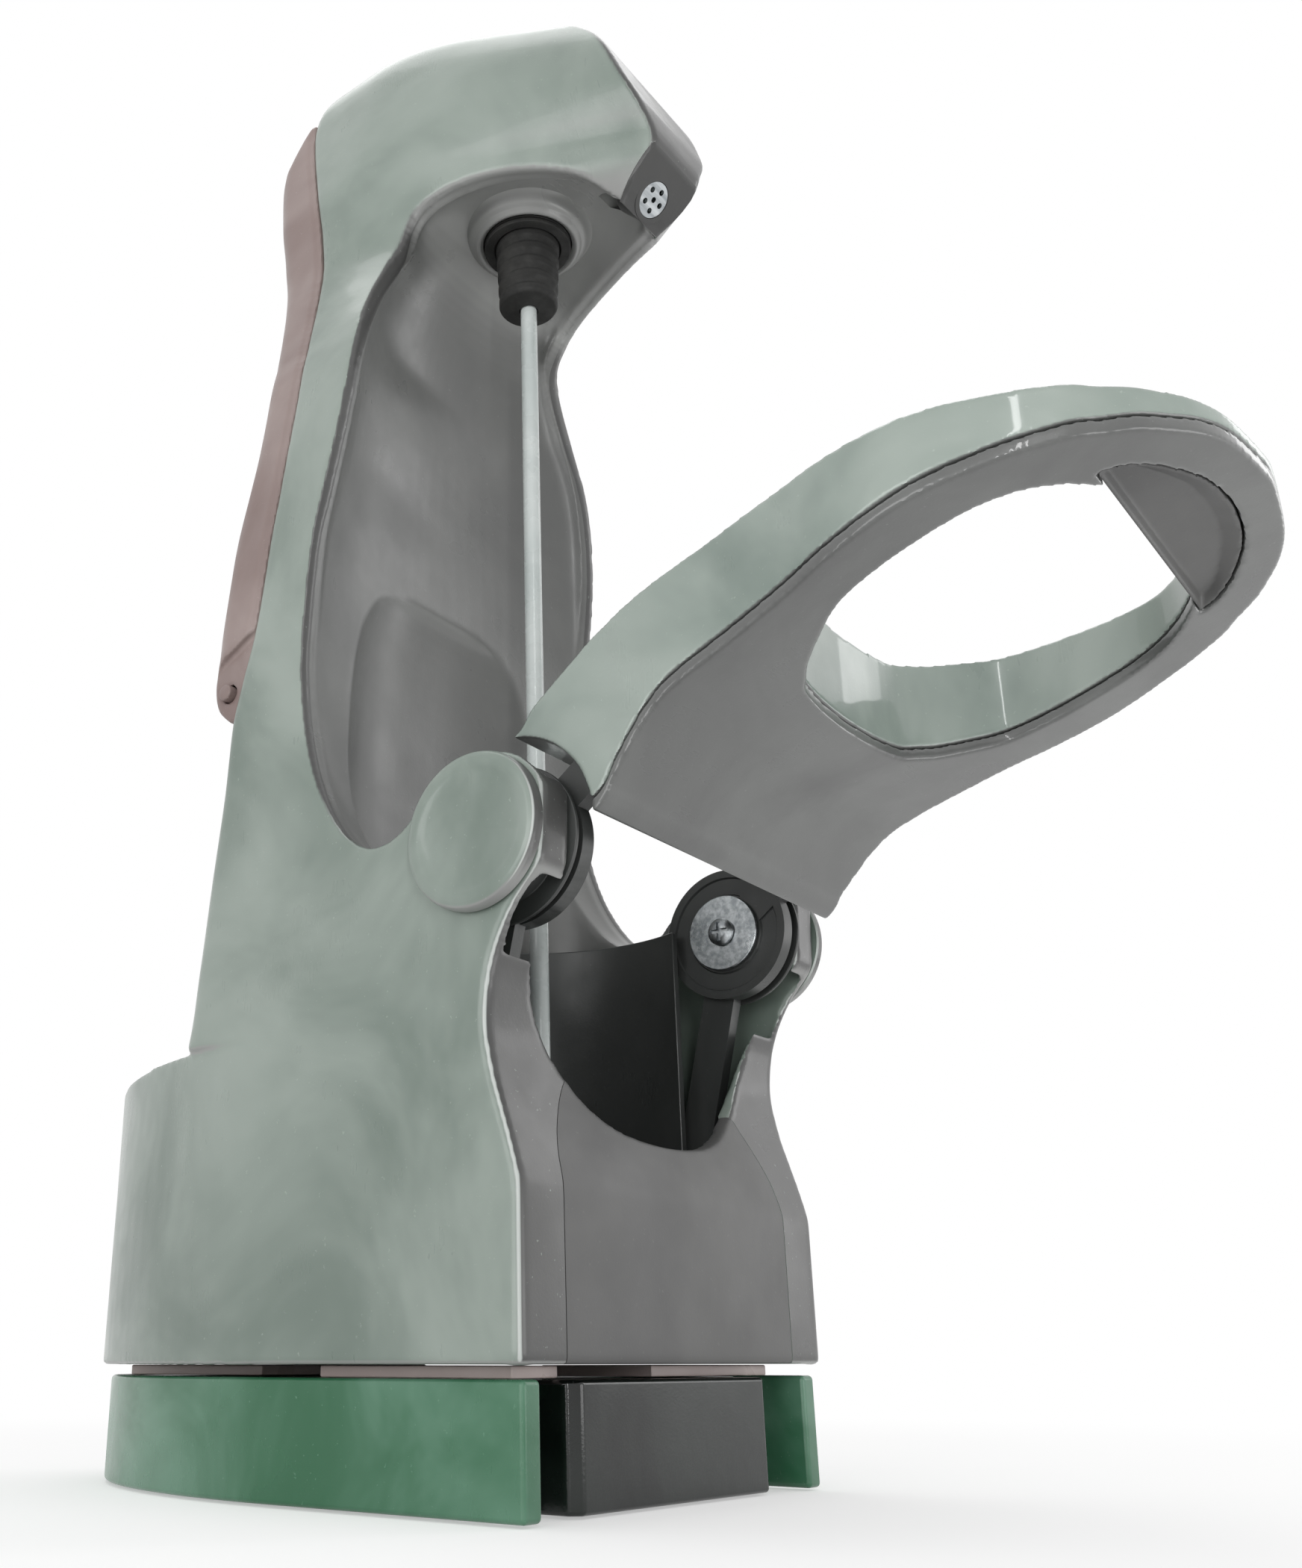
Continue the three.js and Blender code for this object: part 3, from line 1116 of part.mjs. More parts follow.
// Materials
const finish = (color, roughness, metalness) => () =>
  new THREE.MeshStandardMaterial({ color, roughness, metalness });
const casingPlastic = finish(0x8f9a92, 0.35, 0);
const innerPlastic = finish(0x777876, 0.35, 0);
const darkPlastic = finish(0x4a4c4b, 0.4, 0);
const mauvePlastic = finish(0x9d8b88, 0.4, 0);
const greenPlastic = finish(0x44735a, 0.25, 0);
const blackPlastic = finish(0x3b4240, 0.2, 0);
const naturalPlastic = finish(0xd8d6cd, 0.5, 0);
const rubber = finish(0x2b2b2a, 0.85, 0);
const softTube = finish(0xcfd6d4, 0.3, 0);
const steel = finish(0xb4b8ba, 0.28, 1);

const pieces = new THREE.Group();
pieces.name = "manual_cider_pourer";

function add(name, solid, material) {
  const mesh = new THREE.Mesh(geometryOf(solid), material());
  mesh.name = name;
  pieces.add(mesh);
}

// Adds a right-hand piece and its mirror image
function addPair(name, solid, material) {
  add(`${name}_right`, solid, material);
  add(`${name}_left`, solid.mirror([1, 0, 0]), material);
}

add("main_casing", mainCasing(), casingPlastic);
add("front_bib", frontBib(), innerPlastic);
add("body_floor", bodyFloor(), darkPlastic);
add("bottle_cradle", bottleCradle(), darkPlastic);
add("back_liner", backLiner(), innerPlastic);
add("collar_boss", collarBoss(), darkPlastic);
add("bottle_platform", bottlePlatform(), darkPlastic);
add("platform_mat", platformMat(), rubber);
add("rear_cover", rearCover(), mauvePlastic);
addPair("cover_pin", coverPin(), mauvePlastic);
add("foot_skirt", footSkirt(), greenPlastic);
add("foot_front_block", footFrontBlock(), blackPlastic);
add("foot_deck", footDeck(), greenPlastic);
add("foot_plate", footPlate(), blackPlastic);
add("grip_mat", gripMat(), rubber);
for (const riser of riserShares) add(riser.name, riserBlock(riser), mauvePlastic);
addPair("hub_cap", hubCap(), casingPlastic);
addPair("hub_barrel", hubBarrel(), darkPlastic);
addPair("hub_axle", hubAxle(), steel);
addPair("hub_washer", hubWasher(), steel);
addPair("hub_screw", hubScrew(), steel);
addPair("return_spring", returnSpring(), steel);
addPair("crank", crank(), darkPlastic);
addPair("crank_pin", crankPin(), steel);
add("lever_upper_shell", leverUpperShell(), casingPlastic);
add("lever_lower_cover", leverLowerCover(), innerPlastic);
add("finger_rest", fingerRest(), innerPlastic);
add("pump_cylinder", pumpCylinder(), naturalPlastic);
add("cylinder_cap", cylinderCap(), naturalPlastic);
add("piston", piston(), naturalPlastic);
add("piston_seal", pistonSeal(), rubber);
add("piston_rod", pistonRod(), steel);
add("piston_yoke", pistonYoke(), darkPlastic);
add("outlet_valve", outletValve(), darkPlastic);
add("air_hose", airHose(), softTube);
add("air_fitting", airFitting(), darkPlastic);
add("bottle_stopper", bottleStopper(), rubber);
add("mouth_seal", mouthSeal(), rubber);
add("dip_tube", dipTube(), softTube);
add("spout_tube", spoutTube(), softTube);
add("spout_bezel", spoutBezel(), innerPlastic);
add("spout_strainer", spoutStrainer(), steel);

export default pieces;
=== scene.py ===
# %% [markdown]
# # A manual cider pourer, dressed around its CAD frame
# The pourer is a moulded body with a hooked column over an open bay, a ring lever that turns on
# two round hubs, and a green foot. The CAD frame holds every size and joint, so this lesson only
# builds finer skins for the pieces that show, gives each one its finish, and lights them softly.

import json
import math

import bmesh
import bpy
from mathutils import Matrix, Vector

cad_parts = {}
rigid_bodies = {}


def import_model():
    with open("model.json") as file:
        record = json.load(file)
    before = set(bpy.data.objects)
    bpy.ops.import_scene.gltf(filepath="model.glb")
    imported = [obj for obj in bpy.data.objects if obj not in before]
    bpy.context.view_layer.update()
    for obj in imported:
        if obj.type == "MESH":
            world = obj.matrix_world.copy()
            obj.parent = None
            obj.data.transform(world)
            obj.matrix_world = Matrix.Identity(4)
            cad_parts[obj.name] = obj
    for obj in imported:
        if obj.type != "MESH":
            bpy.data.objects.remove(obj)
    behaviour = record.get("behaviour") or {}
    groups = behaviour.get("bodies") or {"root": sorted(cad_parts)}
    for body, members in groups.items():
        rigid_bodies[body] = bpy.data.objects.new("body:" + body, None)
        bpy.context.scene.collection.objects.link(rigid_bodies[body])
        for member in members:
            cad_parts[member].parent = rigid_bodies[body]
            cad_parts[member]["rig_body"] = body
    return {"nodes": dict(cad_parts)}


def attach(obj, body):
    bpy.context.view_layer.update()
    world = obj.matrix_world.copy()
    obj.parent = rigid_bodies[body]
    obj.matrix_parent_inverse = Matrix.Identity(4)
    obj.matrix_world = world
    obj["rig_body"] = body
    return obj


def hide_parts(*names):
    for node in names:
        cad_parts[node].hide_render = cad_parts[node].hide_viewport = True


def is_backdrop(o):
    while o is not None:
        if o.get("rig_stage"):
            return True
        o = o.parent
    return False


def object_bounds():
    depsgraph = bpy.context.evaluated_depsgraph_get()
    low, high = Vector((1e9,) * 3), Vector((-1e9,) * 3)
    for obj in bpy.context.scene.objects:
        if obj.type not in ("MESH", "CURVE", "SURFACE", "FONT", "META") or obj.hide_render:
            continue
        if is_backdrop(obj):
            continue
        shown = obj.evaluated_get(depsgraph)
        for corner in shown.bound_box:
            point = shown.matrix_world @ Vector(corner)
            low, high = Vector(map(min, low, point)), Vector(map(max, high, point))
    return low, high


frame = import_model()
nodes = frame["nodes"]
scene = bpy.context.scene
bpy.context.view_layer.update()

# %% [markdown]
# The photograph looks slightly up at the pourer from near the table, from its front left. A camera
# can be aimed with a constraint, but a plain matrix keeps the solved angles exact. The small shift
# puts the object where the photograph frames it, without turning the camera.

# %% Place the camera
IMAGE_WIDTH, IMAGE_HEIGHT = 1744, 2100
FOCAL_PIXELS = 1998.5
CENTRE_PIXEL = (628.2, 1110.75)
PITCH = math.radians(19.62)
HEADING = Vector((0.7732, 0.6341, 0)).normalized()
EYE = Vector((-0.2938, -0.2682, 0.0288))
SENSOR = 36

lens = bpy.data.cameras.new("camera")
lens.sensor_width = SENSOR
lens.lens = FOCAL_PIXELS * SENSOR / IMAGE_HEIGHT
lens.shift_x = (IMAGE_WIDTH / 2 - CENTRE_PIXEL[0]) / IMAGE_HEIGHT
lens.shift_y = (CENTRE_PIXEL[1] - IMAGE_HEIGHT / 2) / IMAGE_HEIGHT
lens.clip_start = 0.01
camera = bpy.data.objects.new("camera", lens)
scene.collection.objects.link(camera)
forward = HEADING * math.cos(PITCH) + Vector((0, 0, math.sin(PITCH)))
right = forward.cross(Vector((0, 0, 1))).normalized()
above = right.cross(forward)
turn = Matrix((right, above, -forward)).transposed().to_4x4()
camera.matrix_world = Matrix.Translation(EYE) @ turn
scene.camera = camera
print("lens", round(lens.lens, 2), "shift", round(lens.shift_x, 4), round(lens.shift_y, 4))

# %% [markdown]
# The body is described the way a pattern maker would: at each height, where its nose and its tail
# are, how wide it is at the nose and at the flank, and how its tail is rounded. All are shares of
# the body's height, depth and half width, so that the skin built here lies on the CAD frame.

# %% Sizes of the body
HEIGHT, WIDTH, DEPTH = 0.406, 0.121, 0.176
HALF, FRONT = WIDTH / 2, -DEPTH / 2
BOTTOM = 0.028
WALL, SEAM = 0.0028, 0.0003
PAST = 0.006
FAR = HEIGHT

NOSE = [(0.069, -0.007), (0.15, -0.007), (0.1675, 0.002), (0.187, 0.016), (0.207, 0.03),
        (0.234, 0.04), (0.254, 0.035), (0.273, 0.021), (0.291, -0.003), (0.315, -0.045),
        (0.585, -0.057), (0.78, -0.04), (0.8145, -0.004), (0.845, -0.077), (0.857, -0.087),
        (0.877, -0.08), (0.901, -0.062), (0.931, -0.036), (0.958, 0.009), (0.98, 0.066),
        (0.994, 0.132), (1, 0.19)]
NOSE_WIDTH = [(0.069, 1), (0.569, 1), (0.616, 0.983), (0.677, 0.942), (0.727, 0.876),
              (0.764, 0.6), (0.79, 0.3), (0.8145, 0.15), (0.8325, 0.185), (0.85, 0.2),
              (0.862, 0.225), (0.877, 0.29), (0.901, 0.37), (0.931, 0.4), (0.958, 0.38),
              (0.98, 0.32), (0.994, 0.21), (1, 0.08)]
FLANK_WIDTH = [(0.069, 1), (0.569, 1), (0.616, 0.983), (0.677, 0.942), (0.727, 0.876),
               (0.776, 0.818), (0.825, 0.785), (0.874, 0.772), (0.916, 0.768), (0.946, 0.755),
               (0.963, 0.735), (0.975, 0.7), (0.985, 0.64), (0.993, 0.56), (0.998, 0.46),
               (1, 0.35)]
TAIL = [(0.069, 0.994), (0.197, 0.989), (0.2266, 0.983), (0.234, 0.972), (0.239, 0.9375),
        (0.242, 0.852), (0.2446, 0.682), (0.2452, 0.578), (0.293, 0.561), (0.35, 0.545),
        (0.406, 0.528), (0.451, 0.519), (0.48, 0.5), (0.507, 0.48), (0.557, 0.46),
        (0.618, 0.442), (0.685, 0.433), (0.756, 0.443), (0.857, 0.46), (0.924, 0.48),
        (0.944, 0.484), (0.957, 0.481), (0.97, 0.472), (0.984, 0.456), (0.994, 0.428), (1, 0.37)]
TAIL_RUN = [(0.2452, 0.03), (0.46, 0.02), (0.5, 0.012), (0.97, 0.012),
            (0.984, 0.02), (0.994, 0.05), (1, 0.09)]
TAIL_FLAT = [(0.2452, 0.95), (0.97, 0.96), (0.984, 0.93), (0.994, 0.8), (1, 0.5)]
BEND = [(0.069, 0.55), (0.84, 0.55), (0.88, 0.46), (0.93, 0.37), (1, 0.34)]
CORNER = 0.03
ELLIPSE_START, ELLIPSE_RUN, ELLIPSE_TOP = 0.3885, 0.602, 0.2452
LONGEST_RUN = 0.62
LEAST_NOSE = 0.14


def up_at(share):
    return share * HEIGHT


def back_at(share):
    return FRONT + share * DEPTH


def out_at(share):
    return share * HALF


def follow(rows, place):
    """Reads rows of (place, value) as a smooth curve that never overshoots its rows."""
    last = len(rows) - 1
    if place <= rows[0][0]:
        return rows[0][1]
    if place >= rows[last][0]:
        return rows[last][1]
    slopes = [(b[1] - a[1]) / (b[0] - a[0]) for a, b in zip(rows, rows[1:])]

    def tangent(i):
        if i in (0, last):
            return slopes[min(i, last - 1)]
        product = slopes[i - 1] * slopes[i]
        return 0 if product <= 0 else 2 * product / (slopes[i - 1] + slopes[i])

    i = next(k for k, row in enumerate(rows) if row[0] > place) - 1
    run = rows[i + 1][0] - rows[i][0]
    t = (place - rows[i][0]) / run
    rise = (1 + 2 * t) * (1 - t) ** 2 * rows[i][1] + t * t * (3 - 2 * t) * rows[i + 1][1]
    return rise + run * (t * (1 - t) ** 2 * tangent(i) - t * t * (1 - t) * tangent(i + 1))


def plan_parts(height, inset):
    """Where the nose, the flank and the tail are at one height, for a body smaller by inset."""
    share = height / HEIGHT
    nose = back_at(follow(NOSE, share)) + inset
    tail = back_at(follow(TAIL, share)) - inset
    nose_width = max(out_at(follow(NOSE_WIDTH, share)) - inset, LEAST_NOSE * WALL)
    flank = max(out_at(follow(FLANK_WIDTH, share)) - inset, nose_width)
    corner = min(out_at(CORNER), nose_width / 2)
    if share < ELLIPSE_TOP:
        run = tail - back_at(ELLIPSE_START)
    else:
        run = min(follow(TAIL_RUN, share) * DEPTH, (tail - nose) * LONGEST_RUN)
    bend = back_at(follow(BEND, share))

    def width_at(back):
        t = max(min((back - nose - corner) / (bend - nose - corner), 1), 0)
        return nose_width + (flank - nose_width) * (3 * t - t ** 3) / 2

    return nose, tail, nose_width, corner, run, width_at


def plan_line(height, inset, corner_steps, flank_steps, tail_steps):
    """The body's outline in plan at one height, from its nose round to its nose again."""
    nose, tail, nose_width, corner, run, width_at = plan_parts(height, inset)
    side = []
    for i in range(corner_steps + 1):
        angle = i / corner_steps * math.pi / 2
        side.append((nose_width - corner * (1 - math.sin(angle)),
                     nose + corner * (1 - math.cos(angle))))
    start = tail - run
    for i in range(1, flank_steps + 1):
        back = nose + corner + (start - nose - corner) * i / flank_steps
        side.append((width_at(back), back))
    width = width_at(start)
    share = height / HEIGHT
    flat, last, reach = follow(TAIL_FLAT, share) * width, math.pi / 2, run
    if share < ELLIPSE_TOP:
        flat, reach = 0, max(ELLIPSE_RUN * DEPTH - inset, run)
        last = math.asin(run / reach)
    for i in range(1, tail_steps + 1):
        angle = i / tail_steps * last
        side.append((flat + (width - flat) * math.cos(angle), start + reach * math.sin(angle)))
    side[-1] = (max(side[-1][0], LEAST_NOSE * WALL), side[-1][1])
    return [(0, nose)] + side + [(0, tail)] + [(-x, y) for x, y in reversed(side)]


*_, middle_width = plan_parts(HEIGHT / 2, 0)
print("half width at half height", round(middle_width(0) * 1000, 2), "mm")

# %% [markdown]
# A lofted skin can be drawn as a grid of squares that is wrapped round a stack of outlines: the
# grid operator makes the faces, and each vertex then moves to its place. Merging the doubles
# closes the seam, and filling the two holes closes the ends. Prisms and turned pieces work the
# same way, from a circle that is pushed along and a profile that is spun.


# %% Mesh helpers
MERGE = 1e-7


def place_piece(name, bm):
    bmesh.ops.recalc_face_normals(bm, faces=bm.faces)
    mesh = bpy.data.meshes.new(name)
    bm.to_mesh(mesh)
    bm.free()
    piece = bpy.data.objects.new(name, mesh)
    scene.collection.objects.link(piece)
    return piece


def loft(name, rows):
    """Wraps a grid round a stack of outlines, which have equal counts of points."""
    around, tall = len(rows[0]), len(rows) - 1
    bm = bmesh.new()
    bmesh.ops.create_grid(bm, x_segments=around, y_segments=tall, size=1)
    for vert in bm.verts:
        column = round((vert.co.x + 1) / 2 * around) % around
        vert.co = rows[round((vert.co.y + 1) / 2 * tall)][column]
    bmesh.ops.remove_doubles(bm, verts=bm.verts, dist=MERGE)
    bmesh.ops.holes_fill(bm, edges=bm.edges, sides=0)
    return place_piece(name, bm)


PLANES = {
    "side": lambda a, b, along: (along, a, b),
    "front": lambda a, b, along: (a, along, b),
    "plan": lambda a, b, along: (a, b, along),
}


def prism(name, outline, start, end, plane):
    """Pushes an outline along X for the side view, along Y for the front and up for the plan."""
    bm = bmesh.new()
    bmesh.ops.create_circle(bm, cap_ends=True, segments=len(outline), radius=1)
    bm.verts.ensure_lookup_table()
    for vert, (a, b) in zip(bm.verts, outline):
        vert.co = PLANES[plane](a, b, start)
    pushed = bmesh.ops.extrude_face_region(bm, geom=bm.faces[:])
    moved = [v for v in pushed["geom"] if isinstance(v, bmesh.types.BMVert)]
    bmesh.ops.translate(bm, vec=PLANES[plane](0, 0, end - start), verts=moved)
    return place_piece(name, bm)


def block(name, x, y, z):
    """A box between two places along each axis."""
    return prism(name, [(x[0], y[0]), (x[1], y[0]), (x[1], y[1]), (x[0], y[1])], *z, "plan")


AXES = {"x": (Vector((1, 0, 0)), Vector((0, 0, 1))), "z": (Vector((0, 0, 1)), Vector((1, 0, 0)))}


def turned(name, profile, axis, centre, steps=96, closed=False, round_by=0):
    """Spins a profile of (radius, place along the axis) once round an axis through centre."""
    along, out = AXES[axis]
    centre = Vector(centre)
    bm = bmesh.new()
    line = [bm.verts.new(centre + out * r + along * s) for r, s in profile]
    pairs = list(zip(line, line[1:])) + ([(line[-1], line[0])] if closed else [])
    edges = [bm.edges.new(pair) for pair in pairs]
    bmesh.ops.spin(bm, geom=line + edges, cent=centre, axis=along, angle=2 * math.pi,
                   steps=steps, use_merge=True)
    bmesh.ops.remove_doubles(bm, verts=bm.verts, dist=MERGE)
    if round_by:
        soften(bm, round_by)
    return place_piece(name, bm)


def soften(bm, width, segments=3, least=0.6):
    """Rounds the edges that are sharper than least, in radians."""
    bmesh.ops.recalc_face_normals(bm, faces=bm.faces)
    sharp = [e for e in bm.edges if len(e.link_faces) == 2 and e.calc_face_angle(0) > least]
    bmesh.ops.bevel(bm, geom=sharp, offset=width, offset_type="OFFSET", affect="EDGES",
                    segments=segments, profile=0.5, material=-1, clamp_overlap=True)


def rework(piece, change):
    """Changes the piece's mesh by one function on its bmesh."""
    bm = bmesh.new()
    bm.from_mesh(piece.data)
    change(bm)
    bm.to_mesh(piece.data)
    bm.free()
    return piece


def soften_piece(piece, width, segments=3, least=0.6):
    return rework(piece, lambda bm: soften(bm, width, segments, least))


def rod(radius, start, end):
    return [(0, start), (radius, start), (radius, end), (0, end)]


def pipe(bore, radius, start, end):
    return [(bore, start), (radius, start), (radius, end), (bore, end)]


print("mesh helpers ready")

# %% [markdown]
# The hollows are cut with Boolean modifiers. A sharp cut catches no light, while a moulded edge is
# always a little round, so the cut shells are rebuilt from small even squares and smoothed, which
# rounds every edge by about the size of a square. Finer seams are cut after that and stay crisp.


# %% Cutting and finishing helpers
def settle(piece):
    """Makes what the modifiers show the piece's own mesh."""
    bpy.context.view_layer.update()
    shown = piece.evaluated_get(bpy.context.evaluated_depsgraph_get())
    mesh = bpy.data.meshes.new_from_object(shown)
    piece.modifiers.clear()
    old, piece.data = piece.data, mesh
    bpy.data.meshes.remove(old)
    return piece


def combine(piece, others, operation="DIFFERENCE"):
    """Cuts, joins or meets the piece with each of the others, which it uses up."""
    for other in others:
        cutter = piece.modifiers.new("cut", "BOOLEAN")
        cutter.object = other
        cutter.operation = operation
        cutter.solver = "MANIFOLD"
        settle(piece)
        bpy.data.objects.remove(other)
    return piece


def copy_of(piece, name):
    twin = bpy.data.objects.new(name, piece.data.copy())
    scene.collection.objects.link(twin)
    return twin


def even_skin(piece, square, rounds=4, ease=3):
    """Rebuilds the mesh from even squares, lays it back on the exact one and rounds its edges."""
    exact = copy_of(piece, "exact")
    remesh = piece.modifiers.new("even squares", "REMESH")
    remesh.mode = "VOXEL"
    remesh.voxel_size = square
    for count, back in ((rounds, True), (ease, False)):
        smooth = piece.modifiers.new("smooth", "SMOOTH")
        smooth.factor = 0.5
        smooth.iterations = count
        if back:
            wrap = piece.modifiers.new("back onto the shape", "SHRINKWRAP")
            wrap.target = exact
            wrap.wrap_method = "NEAREST_SURFACEPOINT"
    settle(piece)
    bpy.data.objects.remove(exact)
    return piece


def outwards_by(line, margin):
    """Moves each point of a closed outline square to the outline, outwards by margin."""
    count = len(line)
    area = sum(a[0] * b[1] - b[0] * a[1] for a, b in zip(line, line[1:] + line[:1]))
    reach = math.copysign(margin, area) if margin >= 0 else -math.copysign(margin, area)
    moved = []
    for i, (x, y) in enumerate(line):
        a, b = line[i - 1], line[(i + 1) % count]
        length = math.dist(a, b)
        moved.append((x + (b[1] - a[1]) / length * reach, y - (b[0] - a[0]) / length * reach))
    return moved


def triangles(piece):
    return sum(len(p.vertices) - 2 for p in piece.data.polygons)


def thin_out(piece, most):
    """Collapses edges until at most that many triangles are left."""
    count = triangles(piece)
    if count > most:
        fewer = piece.modifiers.new("fewer", "DECIMATE")
        fewer.ratio = most / count
        settle(piece)
    return piece


def smooth_shade(piece, angle=40):
    piece.data.polygons.foreach_set("use_smooth", [True] * len(piece.data.polygons))
    piece.data.set_sharp_from_angle(angle=math.radians(angle))
    weigh = piece.modifiers.new("weigh the normals", "WEIGHTED_NORMAL")
    weigh.keep_sharp = True
    return settle(piece)


def keep_biggest(bm):
    left, parts = set(bm.verts), []
    while left:
        part, edge = set(), [left.pop()]
        while edge:
            vert = edge.pop()
            part.add(vert)
            for link in vert.link_edges:
                other = link.other_vert(vert)
                if other in left:
                    left.remove(other)
                    edge.append(other)
        parts.append(part)
    biggest = max(parts, key=len)
    bmesh.ops.delete(bm, geom=[v for v in bm.verts if v not in biggest], context="VERTS")


def largest_part(piece):
    """Keeps the biggest connected part where a cut leaves slivers beside it."""
    return rework(piece, keep_biggest)


def turn_over(bm):
    bmesh.ops.scale(bm, vec=(-1, 1, 1), verts=bm.verts)
    bmesh.ops.reverse_faces(bm, faces=bm.faces)


def mirrored(piece, name):
    return rework(copy_of(piece, name), turn_over)


def smooth_line(points, count, closed=False):
    """A smooth line through the points, as count places at even spacing."""
    n = len(points)
    fine, per = [], 24
    spans = n if closed else n - 1
    for i in range(spans):
        if closed:
            a, b, c, d = (points[(i + k) % n] for k in (-1, 0, 1, 2))
        else:
            a, b, c, d = (points[min(max(i + k, 0), n - 1)] for k in (-1, 0, 1, 2))
        for k in range(per):
            t = k / per
            fine.append(tuple(
                (2 * q - 2 * r + (r - p) / 2 + (s - q) / 2) * t ** 3
                + (-3 * q + 3 * r - (r - p) - (s - q) / 2) * t ** 2 + (r - p) / 2 * t + q
                for p, q, r, s in zip(a, b, c, d)))
    fine.append(fine[0] if closed else tuple(points[-1]))
    reach = [0]
    for a, b in zip(fine, fine[1:]):
        reach.append(reach[-1] + math.dist(a, b))
    line, k = [], 0
    for i in range(count):
        goal = reach[-1] * i / (count if closed else count - 1)
        while k < len(reach) - 2 and reach[k + 1] < goal:
            k += 1
        t = (goal - reach[k]) / max(reach[k + 1] - reach[k], 1e-12)
        line.append(tuple(p + (q - p) * t for p, q in zip(fine[k], fine[k + 1])))
    return line


print("cutting helpers ready")

# %% [markdown]
# The shell is an outer loft less an inner one. Everything in front of the column and under the
# head is taken away by one prism drawn in the side view: its line runs round the hub's ear, up
# the back of the bay and along under the head to the sloped face that carries the spout. The
# loft's levels are runs of first level, step and count, and lie closer where its outline changes
# fast: at the step over the tail, at the lip under the head and at the crown.

# %% Cutters of the body
HUB_BACK, HUB_UP = back_at(0.048), up_at(0.3325)
AXIS_BACK = back_at(0.215)
HUB = (0, HUB_BACK, HUB_UP)
BAY = (0, AXIS_BACK, 0)
HUB_RADIUS = 0.0185
MOUTH = [(0.141, 0.361), (0.174, 0.347), (0.2125, 0.341), (0.247, 0.344), (0.285, 0.358),
         (0.324, 0.385), (0.352, 0.4195), (0.368, 0.462), (0.369, 0.4995), (0.359, 0.556),
         (0.34, 0.598), (0.321, 0.6535), (0.316, 0.712), (0.3225, 0.765), (0.316, 0.804),
         (0.287, 0.8335), (0.2386, 0.846), (0.165, 0.8505), (0.094, 0.8475), (0.035, 0.8385),
         (-0.0108, 0.8205)]
SPOUT_PLANE = [(0.0045, 0.8145), (-0.153, 0.8755)]
WINDOW = [(0.1848, 0.17), (0.1882, 0.31), (0.195, 0.43), (0.205, 0.525), (0.2185, 0.615),
          (0.238, 0.7), (0.2556, 0.75), (0.276, 0.8), (0.2956, 0.83), (0.39, 0.84)]
WINDOW_FOOT = 0.1833
BIB = [(0.05, 1), (0.152, 1), (0.172, 0.975), (0.19, 0.9), (0.208, 0.785), (0.216, 0.7)]
BIB_MARGIN = 0.015
MOUTH_STEPS = 120
mouth_line = smooth_line([(back_at(b), up_at(u)) for b, u in MOUTH], MOUTH_STEPS + 1)
LEVEL_RUNS = [(BOTTOM / HEIGHT, 0.006, 156), (0.226, 0.0012, 16), (0.8, 0.003, 12),
              (0.94, 0.0025, 24)]
STEP_LEVELS, TOP_LEVEL = {0.2446, 0.2451, 0.2453}, 1.0
levels = sorted({round(first + i * step, 5) for first, step, count in LEVEL_RUNS
                 for i in range(count)} | STEP_LEVELS | {TOP_LEVEL})


def body_loft(name, inset, bottom, steps):
    lift = (HEIGHT - inset - bottom) / (HEIGHT - BOTTOM)
    rows = []
    for share in levels:
        height = max(up_at(share), BOTTOM)
        z = bottom + (height - BOTTOM) * lift
        rows.append([(x, y, z) for x, y in plan_line(height, inset, *steps)])
    return loft(name, rows)


def mouth_cutter():
    first, last, steps = math.pi * 5 / 4, math.pi / 5, 48
    angles = [first + (last - first) * i / steps for i in range(steps + 1)]
    ear = [(HUB_BACK + HUB_RADIUS * math.cos(a), HUB_UP + HUB_RADIUS * math.sin(a))
           for a in angles]
    tip = (back_at(SPOUT_PLANE[1][0]), up_at(SPOUT_PLANE[1][1]))
    line = ear + mouth_line + [tip]
    return prism("mouth", line + [(-FAR, line[-1][1]), (-FAR, line[0][1])], -WIDTH, WIDTH, "side")


def window_cutter():
    right_side = [(out_at(out), up_at(up)) for up, out in WINDOW]
    left_side = [(-x, z) for x, z in reversed(right_side)]
    line = smooth_line(left_side + [(0, up_at(WINDOW_FOOT))] + right_side, 160)
    return prism("window", line, -FAR, HUB_BACK + HUB_RADIUS, "front")


def bib_cutter(margin):
    out = HALF - BIB_MARGIN + margin
    side = smooth_line([(out * share, up_at(up)) for up, share in BIB[1:]], 32)
    side = [(out, up_at(BIB[0][0]))] + side
    top = (0, up_at(WINDOW[-1][0]))
    outline = side + [top] + [(-x, z) for x, z in reversed(side)]
    return prism("bib", outline, -FAR, HUB_BACK + WALL, "front")


def hub_rod(radius, start, end, steps=96):
    return turned("rod", rod(radius, start, end), "x", HUB, steps)


print(len(levels), "levels,", len(mouth_line), "points along the mouth")

# %% [markdown]
# The sieve sits in a dark bezel on the sloped face of the tip. Both are drawn on that face's own
# plane, with the slope as one direction and outwards as the other, and are then turned into place.

# %% The spout's own plane
BEZEL_LENGTH, BEZEL_HALF, BEZEL_THICK = 0.0184, 0.03, 0.0009
STRAINER_RADIUS, STRAINER_BACK, STRAINER_THICK = 0.0049, 0.0002, 0.001
SLEEVE_WALL, SLEEVE_DEPTH = 0.0014, 0.009
STRAINER_ALONG = 0.555 * BEZEL_LENGTH
low_end = Vector((0, back_at(SPOUT_PLANE[0][0]), up_at(SPOUT_PLANE[0][1])))
high_end = Vector((0, back_at(SPOUT_PLANE[1][0]), up_at(SPOUT_PLANE[1][1])))
slope = (high_end - low_end).normalized()
outwards = Vector((0, -slope.z, slope.y))
on_spout = Matrix((slope.cross(outwards), slope, outwards)).transposed().to_4x4()
on_spout = Matrix.Translation(low_end) @ on_spout


